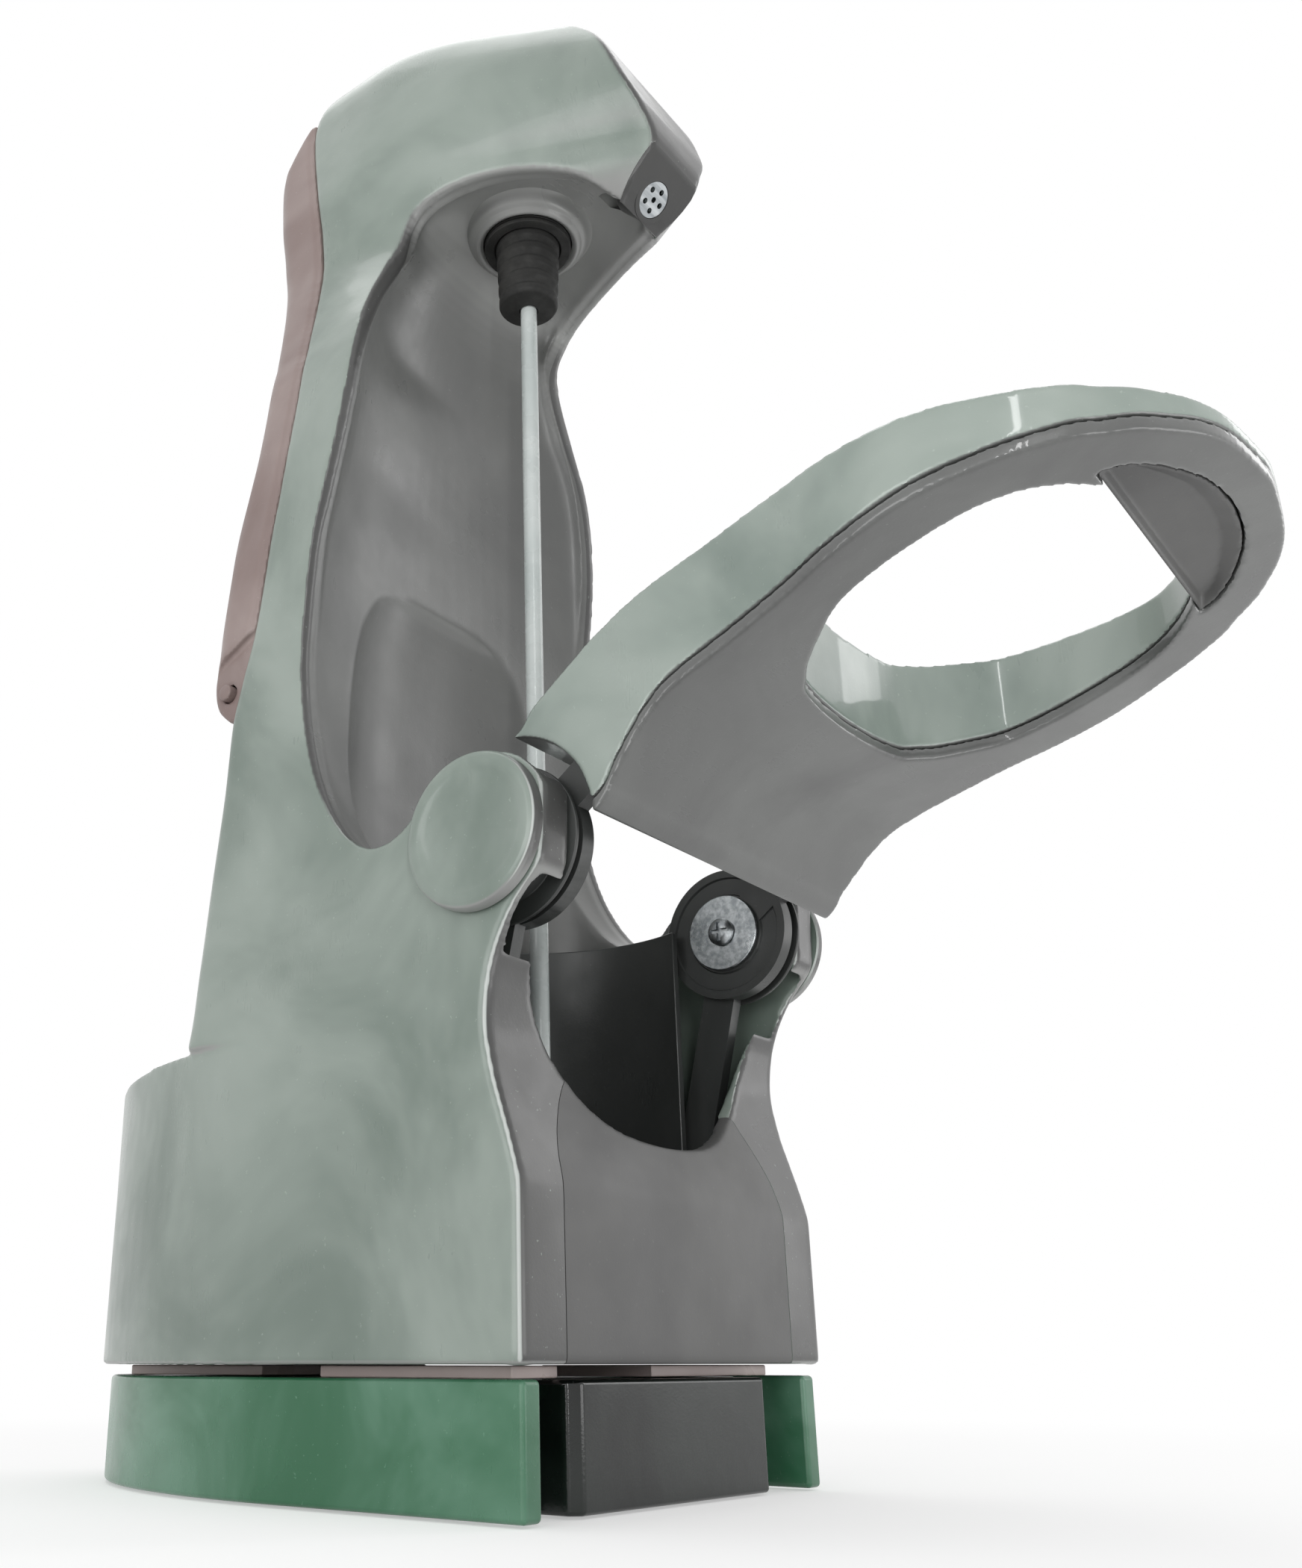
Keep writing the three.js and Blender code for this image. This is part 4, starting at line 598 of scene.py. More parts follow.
def to_spout(piece):
    piece.data.transform(on_spout)
    if on_spout.determinant() < 0:
        piece.data.flip_normals()
    return piece


def spout_slab(depth):
    """The slice of the head behind the sloped face, down to a depth."""
    return to_spout(block("slab", (-BEZEL_HALF, BEZEL_HALF), (-BEZEL_HALF, BEZEL_LENGTH + WALL),
                          (-depth, PAST)))


def spout_turned(name, profile, steps=64, closed=False, x=0, y=0):
    centre = (x, STRAINER_ALONG + y, 0)
    return to_spout(turned(name, profile, "z", centre, steps, closed))


def spout_hole():
    return spout_turned("hole", rod(STRAINER_RADIUS + SLEEVE_WALL + 2 * SEAM,
                                    -2 * SLEEVE_DEPTH, 0))


print("the spout leans", round(math.degrees(math.atan2(slope.z, -slope.y)), 1), "degrees")

# %% [markdown]
# Behind the bay the column is hollow. Its liner is one thin moulded sheet: a shallow trough that
# follows the mouth's line, run together with the round bay in front of it. The trough is lofted
# along that line, and the sheet is the larger hollow less the smaller one.

# %% Hollows of the column and the bay
BAY_RADIUS, CRADLE_THICK, CRADLE_TOP = 0.0415, 0.0022, 0.137
LINER_THICK, LINER_DEPTH = 0.0022, 0.015
LINER_DEPTHS = [(0, 0.1), (0.12, 0.25), (0.3, 0.32), (0.38, 0.45), (0.46, 0.75), (0.54, 1),
                (0.68, 1), (0.76, 0.7), (0.9, 0.4), (1, 0.12)]
LINER_SPAN, ROOM_SPAN = (2, 118), (0, MOUTH_STEPS)
SHOULDER = [(0.43, 1), (0.5, 0.97), (0.545, 0.9), (0.57, 0.8), (0.585, 0.62), (0.592, 0.4)]
BAY_SQUARE, BAY_STRETCH, BAY_STEPS = 3, 1.14, 128
CRANK_RING = 0.0174
COVER_OUT, COVER_FROM, COVER_TO = 0.6, 0.463, 0.925
cover_edge = back_at(0.5) - LINER_DEPTH
liner_bottom = CRADLE_TOP + SEAM


def liner_hollow(span, margin, steps=28):
    rows = []
    for i in range(span[0], span[1] + 1):
        y, z = mouth_line[i]
        before, after = mouth_line[max(i - 1, 0)], mouth_line[min(i + 1, MOUTH_STEPS)]
        length = math.dist(before, after)
        run_y, run_z = (after[0] - before[0]) / length, (after[1] - before[1]) / length
        deep = LINER_DEPTH * follow(LINER_DEPTHS, i / MOUTH_STEPS) + margin
        *_, width_at = plan_parts(z, WALL + SEAM)
        wide = max(width_at(y) - LINER_THICK, LINER_THICK) + margin
        angles = [k / steps * math.pi for k in range(steps + 1)]
        arc = [(-wide * math.cos(a), deep * math.sin(a)) for a in angles]
        arc += [(wide, margin - PAST / 2), (-wide, margin - PAST / 2)]
        rows.append([(x, y + run_z * d, z - run_y * d) for x, d in arc])
    return loft("hollow", rows)


def bay_hollow(margin, bottom):
    points = [(BAY_RADIUS * share + margin, up_at(up)) for up, share in SHOULDER]
    shoulder = smooth_line(points, 24)
    rows = []
    for radius, z in [(BAY_RADIUS + margin, bottom)] + shoulder:
        row = []
        for i in range(BAY_STEPS):
            angle = i / BAY_STEPS * 2 * math.pi
            x, y = math.cos(angle), math.sin(angle)
            power = 2 / BAY_SQUARE if y > 0 else 1
            row.append((math.copysign(abs(x) ** power, x) * radius * BAY_STRETCH,
                        AXIS_BACK + math.copysign(abs(y) ** power, y) * radius, z))
        rows.append(row)
    return loft("bay", rows)


def liner_zone(inset):
    """The room inside the body's wall where the liner lies, as a smaller body."""
    zone = body_loft("zone", inset, BOTTOM - PAST, INNER_STEPS)
    out = out_at(COVER_OUT) - SEAM
    behind = block("behind", (-out, out), (cover_edge, -FRONT),
                   (up_at(COVER_FROM) + SEAM, up_at(COVER_TO) - SEAM))
    combine(zone, [behind], "UNION")
    low = block("low", (-FAR, FAR), (-FAR, FAR), (0, liner_bottom))
    near = block("near", (-FAR, FAR), (-FAR, HUB_BACK + CRANK_RING + SEAM),
                 (0, HUB_UP + HUB_RADIUS))
    return combine(zone, [low, near])


print("the bay is", round(2000 * BAY_RADIUS, 1), "mm wide")

# %% [markdown]
# The shell and the liner's sheet are one skin on the real thing, rolled over along the mouth with
# no step. So both are joined first, cut by the mouth and the window, and smoothed as one. The
# pieces are parted after that, and their surfaces run on across every parting line.

# %% Build the body's skin
FINE_STEPS, INNER_STEPS = (8, 26, 24), (4, 20, 20)
SKIN_SQUARE = 0.0008
shell = body_loft("shell", 0, BOTTOM, FINE_STEPS)
combine(shell, [body_loft("inside", WALL, BOTTOM - PAST, INNER_STEPS)])
sheet = liner_hollow(LINER_SPAN, LINER_THICK + WALL / 2)
combine(sheet, [bay_hollow(CRADLE_THICK, liner_bottom)], "UNION")
combine(sheet, [liner_zone(WALL / 2)], "INTERSECT")
combine(shell, [sheet], "UNION")
room = combine(liner_hollow(ROOM_SPAN, 0), [bay_hollow(0, liner_bottom - PAST)], "UNION")
combine(room, [block("low", (-FAR, FAR), (-FAR, FAR), (0, liner_bottom - PAST))])
combine(shell, [room, mouth_cutter(), window_cutter()])
even_skin(shell, SKIN_SQUARE, ease=8)
print("skin", triangles(shell), "triangles")

# %% [markdown]
# The bib is the panel under the window. The casing, the bib and the liner are cut out of the one
# skin. The casing also gets its opening at the back, its hub holes and a flat cut for the spout.

# %% Part the skin into casing, bib and liner
HUB_SPIGOT, BARREL_RADIUS = 0.0056, 0.0134
COLLAR_RADIUS = 0.0164
SPLIT = WALL + 0.0004
MOST_TRIANGLES = 190000
collar_hole = turned("collar", rod(COLLAR_RADIUS + SEAM, up_at(0.8), up_at(0.875)), "z", BAY)
bib = combine(copy_of(shell, "bib_panel"), [bib_cutter(0)], "INTERSECT")
liner = combine(copy_of(shell, "bay_liner"), [liner_zone(SPLIT)], "INTERSECT")
combine(liner, [collar_hole, spout_slab(BEZEL_THICK), spout_hole()])
casing = shell
casing.name = "casing_shell"
opening = block("opening", (-out_at(COVER_OUT), out_at(COVER_OUT)), (cover_edge, -FRONT),
                (up_at(COVER_FROM), up_at(COVER_TO)))
combine(casing, [bib_cutter(SEAM), liner_zone(SPLIT), opening,
                 hub_rod(HUB_SPIGOT + SEAM, -FAR, FAR),
                 hub_rod(BARREL_RADIUS + SEAM, WALL - HALF, HALF - WALL),
                 spout_slab(BEZEL_THICK), spout_hole()])
for piece in (casing, bib, liner):
    largest_part(piece)
    thin_out(piece, MOST_TRIANGLES)
    smooth_shade(piece)
    print(piece.name, triangles(piece), "triangles")

# %% [markdown]
# The lever is a ring on a broad fork. Its plan and its side view are two outlines, and the solid
# is what lies inside both. The shell and the cover under it part along a thin line that runs a
# few millimetres above the lower edge, which the photograph shows as a dark hairline.

# %% Build the lever
REACH, LEVER_WIDTH, LEVER_ARC, LEVER_WALL, COVER_THICK = 0.142, 0.1228, 0.024, 0.0032, 0.003
LEVER_PLAN = [(-0.04, 0.85), (0.12, 0.857), (0.176, 0.873), (0.2465, 0.891), (0.338, 0.9055),
              (0.4225, 0.93), (0.472, 0.9495), (0.514, 0.974), (0.556, 0.99), (0.6, 1),
              (0.634, 1), (0.669, 0.9886), (0.704, 0.967), (0.739, 0.938), (0.775, 0.9055),
              (0.81, 0.863), (0.845, 0.814), (0.873, 0.749), (0.908, 0.674), (0.937, 0.58),
              (0.965, 0.466), (0.986, 0.309), (1, 0.06)]
LEVER_HOLE = [(0.352, 0.06), (0.356, 0.23), (0.366, 0.39), (0.384, 0.467), (0.401, 0.531),
              (0.4225, 0.586), (0.444, 0.635), (0.479, 0.708), (0.514, 0.749), (0.57, 0.7736),
              (0.634, 0.778), (0.69, 0.765), (0.722, 0.743), (0.754, 0.707), (0.782, 0.655),
              (0.81, 0.58), (0.845, 0.44), (0.87, 0.25), (0.88, 0.06)]
LEVER_UNDER = [(0.03, 0.325), (0.118, 0.3377), (0.148, 0.351), (0.179, 0.3638),
               (0.211, 0.3756), (0.249, 0.3857), (0.293, 0.3924), (0.338, 0.398),
               (0.427, 0.4086), (0.513, 0.419), (0.594, 0.4281), (0.669, 0.4365),
               (0.739, 0.4436), (0.81, 0.4502), (0.876, 0.4562), (0.937, 0.4611),
               (0.984, 0.4658), (1.02, 0.469)]
LEVER_TOP = [(-0.11, 0.375), (-0.0275, 0.394), (-0.006, 0.4035), (0.0211, 0.4113),
             (0.0775, 0.4254), (0.1338, 0.4377), (0.2113, 0.4483), (0.3211, 0.4589),
             (0.426, 0.468), (0.535, 0.4741), (0.683, 0.479), (0.81, 0.4805), (0.93, 0.4815),
             (0.985, 0.4815), (1.02, 0.4812)]
REST = [(0.838, 0.57), (0.865, 0.535), (0.895, 0.45), (0.925, 0.305), (0.94, 0.18),
        (0.946, 0.04)]
CRANK_FACE, CRANK_THICK, CRANK_WIDTH, TONGUE_LENGTH = 0.0426, 0.0041, 0.009, 0.051
TONGUE_ANGLE = math.radians(36)


def lever_back(share):
    return FRONT - share * REACH


def lever_plan(rows, margin, hole):
    side = [(out * LEVER_WIDTH / 2, lever_back(reach)) for reach, out in rows]
    line = smooth_line(side + [(-x, y) for x, y in reversed(side)], 320, closed=hole)
    return prism("plan", outwards_by(line, margin), 0, HEIGHT, "plan")


def lever_side(rise, drop, arc):
    under = smooth_line([(lever_back(r), up_at(u) + rise) for r, u in LEVER_UNDER], 90)
    over = smooth_line([(lever_back(r), up_at(u) - drop) for r, u in LEVER_TOP], 90)
    body = prism("side", under + over[::-1], -LEVER_WIDTH, LEVER_WIDTH, "side")
    return combine(body, [hub_rod(arc, -LEVER_WIDTH, LEVER_WIDTH, 192)])


def hub_bar(to, width, start, end):
    run = Vector(to) - Vector((HUB_BACK, HUB_UP))
    side = run.orthogonal().normalized() * width / 2
    near, far_end = Vector((HUB_BACK, HUB_UP)), Vector(to)
    loop = [near + side, near - side, far_end - side, far_end + side]
    return prism("bar", [tuple(p) for p in loop], start, end, "side")


tongue_end = (HUB_BACK - TONGUE_LENGTH * math.cos(TONGUE_ANGLE),
              HUB_UP + TONGUE_LENGTH * math.sin(TONGUE_ANGLE))
parting = COVER_THICK + SEAM
lever_shell = lever_plan(LEVER_PLAN, 0, False)
lever_shell.name = "lever_shell"
combine(lever_shell, [lever_side(parting, 0, LEVER_ARC)], "INTERSECT")
hollow = lever_plan(LEVER_PLAN, -LEVER_WALL, False)
combine(hollow, [lever_side(parting - PAST, LEVER_WALL, LEVER_ARC + LEVER_WALL)], "INTERSECT")
combine(hollow, [lever_plan(LEVER_HOLE, LEVER_WALL, True)])
fingers = [hub_bar(tongue_end, CRANK_WIDTH + 2 * SEAM, *faces) for faces in (
    (CRANK_FACE - SEAM, CRANK_FACE + CRANK_THICK + SEAM),
    (-CRANK_FACE - CRANK_THICK - SEAM, SEAM - CRANK_FACE))]
combine(lever_shell, [lever_plan(LEVER_HOLE, 0, True), hollow] + fingers)
lever_cover = lever_plan(LEVER_PLAN, 0, False)
lever_cover.name = "lever_cover"
combine(lever_cover, [lever_side(0, 0, LEVER_ARC)], "INTERSECT")
combine(lever_cover, [lever_side(COVER_THICK, -PAST, LEVER_ARC - PAST),
                      lever_plan(LEVER_HOLE, 0, True), lever_plan(REST, SEAM, False)])
largest_part(lever_cover)
LEVER_SQUARE = 0.0005
for piece in (lever_shell, lever_cover):
    even_skin(piece, LEVER_SQUARE, ease=7)
    thin_out(piece, MOST_TRIANGLES)
    smooth_shade(piece)
    print(piece.name, triangles(piece), "triangles")

# %% [markdown]
# The finger rest is a crescent pad in the front of the ring. It fills the front of the ring's hole
# and reaches under the cover, where a shallow dish with a sloping rim takes the fingertips.

# %% Build the finger rest
REST_RISE, REST_LIP, REST_TOP = 0.0002, 0.0022, 0.004
REST_SQUARE = 0.00045
DISH = [(0.846, 0.52), (0.868, 0.47), (0.885, 0.385), (0.905, 0.25), (0.915, 0.14), (0.9186, 0.03)]
DISH_DEEP, REST_BACK = 0.0026, 0.838


def under_line(rows, rise):
    """An outline on the lever's underside, lifted by rise."""
    side = [(out * LEVER_WIDTH / 2, reach) for reach, out in rows]
    line = smooth_line(side + [(-x, r) for x, r in reversed(side)], 96)
    return [(x, lever_back(r), up_at(follow(LEVER_UNDER, r)) + rise) for x, r in line]


finger_rest = lever_plan(REST, 0, False)
finger_rest.name = "finger_pad"
combine(finger_rest, [lever_side(REST_RISE, 0, LEVER_ARC)], "INTERSECT")
combine(finger_rest, [lever_side(REST_TOP, -PAST, LEVER_ARC - PAST)])
plug = combine(lever_plan(LEVER_HOLE, -SEAM, True), [
    lever_side(REST_RISE, REST_LIP, LEVER_ARC),
    block("front", (-FAR, FAR), (lever_back(1), lever_back(REST_BACK)), (0, HEIGHT))], "INTERSECT")
combine(finger_rest, [plug], "UNION")
scoop = loft("scoop", [under_line(REST, -PAST), under_line(REST, REST_RISE),
                       under_line(DISH, DISH_DEEP)])
combine(finger_rest, [scoop])
even_skin(finger_rest, REST_SQUARE, ease=5)
smooth_shade(finger_rest)
print("finger rest", triangles(finger_rest), "triangles")

# %% [markdown]
# The rear cover is a soft mauve cap on the column's back. It is a loft from its foot to its head,
# hollowed by a smaller loft, with a pin's hole low on each side.

# %% Build the rear cover and its pins
COVER = [(0.4557, 0.5318), (0.468, 0.5625), (0.4842, 0.5773), (0.5025, 0.5716),
         (0.5222, 0.568), (0.557, 0.557), (0.591, 0.5455), (0.6527, 0.5227), (0.7143, 0.5227),
         (0.7783, 0.541), (0.837, 0.56), (0.899, 0.572), (0.922, 0.569), (0.93, 0.561),
         (0.945, 0.524), (0.956, 0.494)]
COVER_RIM = (0.0007, 0.0016, 0.0022)
COVER_FOLD = [(0.478, 0.514), (0.52, 0.5045), (0.552, 0.4975), (0.571, 0.487), (0.58, 0.474),
              (0.6, 0.44), (0.44, 0.44)]
COVER_FOLD_DEEP = 0.0024
COVER_SQUARE = 0.0006
COVER_WALL, COVER_GAP, COVER_CORNER = 0.0024, 0.0002, 0.007
PIN_RADIUS, PIN_REACH, PIN_PROUD, PIN_PLACE = 0.0022, 0.006, -0.0008, (0.537, 0.4766)


def cover_loft(inset, front_of, steps=10):
    rows = []
    line = smooth_line([(up * HEIGHT, back_at(back)) for up, back in COVER], 150)
    for i, (z, back) in enumerate(line):
        _, tail, *_, width_at = plan_parts(z, 0)
        start = front_of(tail)
        end = max(back - inset, start + COVER_GAP)
        out = width_at(tail) - COVER_GAP - inset
        corner = min(COVER_CORNER, (end - start) / 2)
        step, low_rim, high_rim = (v * min((end - start) / COVER_CORNER, 1) for v in COVER_RIM)
        side = [(out - step, start), (out - step, start + low_rim), (out, start + high_rim),
                (out, end - corner)]
        for k in range(1, steps + 1):
            angle = k / steps * math.pi / 2
            side.append((out - corner * (1 - math.cos(angle)),
                         end - corner * (1 - math.sin(angle))))
        lift = (inset if i == 0 else 0) - (inset if i == len(line) - 1 else 0)
        rows.append([(x, y, z + lift) for x, y in side + [(-x, y) for x, y in reversed(side)]])
    return loft("rear_cap", rows)


def pin_rod(radius, start, end, name="pin"):
    centre = (0, back_at(PIN_PLACE[0]), up_at(PIN_PLACE[1]))
    return turned(name, rod(radius, start, end), "x", centre, 48)


rear_cap = cover_loft(0, lambda tail: tail + COVER_GAP)
fold = smooth_line([(back_at(back), up_at(up)) for back, up in COVER_FOLD[:5]], 24)
fold += [(back_at(back), up_at(up)) for back, up in COVER_FOLD[5:]]
combine(rear_cap, [cover_loft(COVER_WALL + COVER_RIM[0], lambda tail: tail - WALL),
                   prism("fold", fold, HALF - COVER_FOLD_DEEP, WIDTH, "side"),
                   prism("fold", fold, -WIDTH, COVER_FOLD_DEEP - HALF, "side"),
                   pin_rod(PIN_RADIUS + SEAM, -FAR, FAR)])
even_skin(rear_cap, COVER_SQUARE, ease=5)
thin_out(rear_cap, MOST_TRIANGLES)
smooth_shade(rear_cap)
pin_out = out_at(follow(FLANK_WIDTH, PIN_PLACE[1])) + PIN_PROUD
pin_right = soften_piece(pin_rod(PIN_RADIUS, pin_out - PIN_REACH, pin_out, "pin_button_right"),
                         0.0005)
pin_left = mirrored(smooth_shade(pin_right), "pin_button_left")
print("rear cover", triangles(rear_cap), "triangles")

# %% [markdown]
# The foot is a green U-shaped wall with a dark glossy block between its front ends. Extruded walls
# only need their rims rounded, which a bevel does well because the rims are the only sharp edges.

# %% Build the foot
FOOT_HEIGHT, FOOT_INSET, SKIRT_THICK, SKIRT_LIFT = 0.0256, 0.00235, 0.0057, 0.0006
BLOCK_WIDTH, BLOCK_BACK, BLOCK_CHAMFER, BLOCK_THICK = 0.078, 0.002, 0.0025, 0.016
TAIL_LENGTH, TAIL_END = 0.106, 0.994
PLATE_THICK, MAT_THICK, MAT_MARGIN = 0.0037, 0.0017, 0.008


def foot_outline(inset, start, steps=120):
    out = HALF - FOOT_INSET - inset
    bend = FRONT + DEPTH * TAIL_END - TAIL_LENGTH - FOOT_INSET
    angles = [i / steps * math.pi for i in range(steps + 1)]
    curve = [(out * math.cos(a), bend + (TAIL_LENGTH - inset) * math.sin(a)) for a in angles]
    return [(out, start)] + curve + [(-out, start)]


skirt = prism("foot_wall", foot_outline(0, FRONT), SKIRT_LIFT, FOOT_HEIGHT, "plan")
combine(skirt, [prism("room", foot_outline(SKIRT_THICK, FRONT - PAST), 0, FAR, "plan")])
soften_piece(skirt, 0.0011, 4, least=0.5)
block_out, block_start = BLOCK_WIDTH / 2, FRONT + BLOCK_BACK
block_end = block_start + BLOCK_THICK
block_line = [(-block_out, block_end), (-block_out, block_start + BLOCK_CHAMFER),
              (BLOCK_CHAMFER - block_out, block_start), (block_out - BLOCK_CHAMFER, block_start),
              (block_out, block_start + BLOCK_CHAMFER), (block_out, block_end)]
front_block = prism("front_block", block_line, SKIRT_LIFT, FOOT_HEIGHT - SEAM, "plan")
soften_piece(front_block, 0.0009, 4, least=0.5)
foot_start = block_end + SEAM
deck = prism("deck_plate", foot_outline(SKIRT_THICK + SEAM, foot_start),
             FOOT_HEIGHT - SEAM - PLATE_THICK, FOOT_HEIGHT - SEAM, "plan")
soften_piece(deck, 0.0005, 2, least=0.5)
grip = prism("grip_pad", foot_outline(MAT_MARGIN, FRONT + BLOCK_BACK + 2 * MAT_MARGIN), 0,
             MAT_THICK, "plan")
soften_piece(grip, 0.0004, 2, least=0.5)
foot_pieces = [skirt, front_block, deck, grip]
for piece in foot_pieces:
    smooth_shade(piece, 30)
print("foot", [triangles(piece) for piece in foot_pieces], "triangles")

# %% [markdown]
# Three blocks hold the body off the foot, and light comes through the gap between them.

# %% Build the risers
RISERS = {"riser_right": ((-0.03, 0.81), (0.045, 0.216)),
          "riser_left": ((-0.85, -0.6), (0.045, 0.34)),
          "riser_rear": ((-0.5, 0.5), (0.57, 0.85))}
risers = {}
for node, (x, y) in RISERS.items():
    spacer = block(node.replace("riser", "spacer"), [out_at(s) for s in x],
                   [back_at(s) for s in y], (FOOT_HEIGHT, BOTTOM))
    risers[node] = smooth_shade(soften_piece(spacer, 0.0004, 2))
print(len(risers), "spacers")

# %% [markdown]
# The hub is a stack of turned pieces: a flat round cap outside, and inside it a barrel, an axle,
# a washer and a cross-slotted screw that hold the crank. A profile spun round the hinge makes
# each one, and its rims are bevelled so that they catch the light.

# %% Build the hubs
CAP_RADIUS, CAP_THICK, CAP_EDGE, CAP_DISH, CAP_CHAMFER = 0.0176, 0.0036, 0.0016, 0.0007, 0.0004
FLANGE_RADIUS, FLANGE_THICK, BARREL_BORE, BARREL_LENGTH, BARREL_FLOOR = (
    0.018, 0.001, 0.0108, 0.0086, 0.0016)
AXLE_RADIUS, RUNNING_GAP = 0.005, 0.00009
WASHER_RADIUS, WASHER_THICK = 0.01, 0.0012
HEAD_RADIUS, HEAD_HEIGHT, SHAFT_RADIUS = 0.0036, 0.0018, 0.0016
SLOT_WIDTH, SLOT_DEPTH, CRANK_GROOVE = 0.001, 0.0008, 0.0006
ARM_FACE, ARM_THICK, ARM_LENGTH, BOSS_RADIUS = 0.0448, 0.0036, 0.073, 0.006
ARM_ANGLE = math.radians(14)
PIN_BORE, YOKE_FACE, YOKE_THICK = 0.0025, 0.049, 0.003

cap_start = HALF + SEAM
cap_end = cap_start + CAP_THICK
cap_rim = smooth_line([(CAP_RADIUS, cap_end - CAP_EDGE),
                       (CAP_RADIUS - 0.3 * CAP_EDGE, cap_end - 0.3 * CAP_EDGE),
                       (CAP_RADIUS - CAP_EDGE, cap_end)], 10)
dish = CAP_RADIUS - 2 * CAP_EDGE
cap = turned("cap_right", [(0, cap_start - WALL), (HUB_SPIGOT, cap_start - WALL),
                           (HUB_SPIGOT, cap_start), (CAP_RADIUS - CAP_CHAMFER, cap_start),
                           (CAP_RADIUS, cap_start + CAP_CHAMFER)] + cap_rim
             + [(dish, cap_end), (dish - CAP_DISH, cap_end - 0.3 * CAP_DISH),
                (dish - 3 * CAP_DISH, cap_end - CAP_DISH), (0, cap_end - CAP_DISH)],
             "x", HUB, 160)
barrel_end = HALF - WALL - SEAM
barrel_start = barrel_end - BARREL_LENGTH
barrel = turned("barrel_right", [
    (AXLE_RADIUS + RUNNING_GAP, barrel_start), (FLANGE_RADIUS, barrel_start),
    (FLANGE_RADIUS, barrel_start + FLANGE_THICK), (BARREL_RADIUS, barrel_start + FLANGE_THICK),
    (BARREL_RADIUS, barrel_end), (BARREL_BORE, barrel_end),
    (BARREL_BORE, barrel_start + BARREL_FLOOR),
    (AXLE_RADIUS + RUNNING_GAP, barrel_start + BARREL_FLOOR)], "x", HUB, 96, True, 0.0003)
pin_place = (HUB_BACK + ARM_LENGTH * math.sin(ARM_ANGLE),
             HUB_UP - ARM_LENGTH * math.cos(ARM_ANGLE))
crank_end = CRANK_FACE + CRANK_THICK
crank = turned("swing_crank_right", [
    (AXLE_RADIUS + SEAM, CRANK_FACE), (0.6 * CRANK_RING, CRANK_FACE),
    (0.62 * CRANK_RING, CRANK_FACE + CRANK_GROOVE), (0.86 * CRANK_RING, CRANK_FACE + CRANK_GROOVE),
    (0.88 * CRANK_RING, CRANK_FACE), (CRANK_RING, CRANK_FACE), (CRANK_RING, crank_end),
    (AXLE_RADIUS + SEAM, crank_end)], "x", HUB, 128, True)
arm_faces = (ARM_FACE, ARM_FACE + ARM_THICK)
pin_centre = (0, pin_place[0], pin_place[1])
combine(crank, [hub_bar(pin_place, CRANK_WIDTH, *arm_faces),
                hub_bar(tongue_end, CRANK_WIDTH, CRANK_FACE, crank_end),
                turned("boss", rod(BOSS_RADIUS, *arm_faces), "x", pin_centre, 64)], "UNION")
combine(crank, [hub_rod(AXLE_RADIUS + SEAM, 0, HALF),
                turned("bore", rod(PIN_BORE + SEAM, 0, HALF), "x", pin_centre, 48)])
soften_piece(crank, 0.0004, 2)
axle = turned("axle_right", [(SHAFT_RADIUS + SEAM, CRANK_FACE), (AXLE_RADIUS, CRANK_FACE),
                             (AXLE_RADIUS, barrel_end - SEAM), (0, barrel_end - SEAM),
                             (0, crank_end), (SHAFT_RADIUS + SEAM, crank_end)],
              "x", HUB, 64, False, 0.0002)
washer_end = CRANK_FACE - SEAM
washer = turned("washer_right", pipe(SHAFT_RADIUS + SEAM, WASHER_RADIUS, washer_end - WASHER_THICK,
                                     washer_end), "x", HUB, 96, True, 0.0003)
head_under = washer_end - WASHER_THICK - SEAM
head_top = head_under - HEAD_HEIGHT
screw = turned("screw_right", [(0, head_top), (0.5 * HEAD_RADIUS, head_top),
                               (0.85 * HEAD_RADIUS, head_top + 0.25 * HEAD_HEIGHT),
                               (HEAD_RADIUS, head_top + 0.6 * HEAD_HEIGHT),
                               (HEAD_RADIUS, head_under), (SHAFT_RADIUS, head_under),
                               (SHAFT_RADIUS, crank_end - SEAM), (0, crank_end - SEAM)],
               "x", HUB, 64)
slot_reach, slot_half = 0.7 * HEAD_RADIUS, SLOT_WIDTH / 2
for y, z in ((slot_reach, slot_half), (slot_half, slot_reach)):
    combine(screw, [block("slot", (head_top - PAST, head_top + SLOT_DEPTH),
                          (HUB_BACK - y, HUB_BACK + y), (HUB_UP - z, HUB_UP + z))])
crank_pin = turned("crank_stud_right", rod(PIN_BORE, ARM_FACE, YOKE_FACE + YOKE_THICK + SEAM), "x",
                   pin_centre, 48, False, 0.0003)
hub_sets = {"hub_cap": cap, "hub_barrel": barrel, "crank": crank, "hub_axle": axle,
            "hub_washer": washer, "hub_screw": screw, "crank_pin": crank_pin}
for piece in hub_sets.values():
    smooth_shade(piece, 35)
print("hub pieces", {name: triangles(piece) for name, piece in hub_sets.items()})

# %% [markdown]
# Low in the bay a dark cradle stands round a platform with a soft mat, and high in it are the
# collar, the stopper, its seal and the dip tube. The round ones are spun from their profiles, and
# the platform and its mat are spun too and then cut to the room inside the casing.

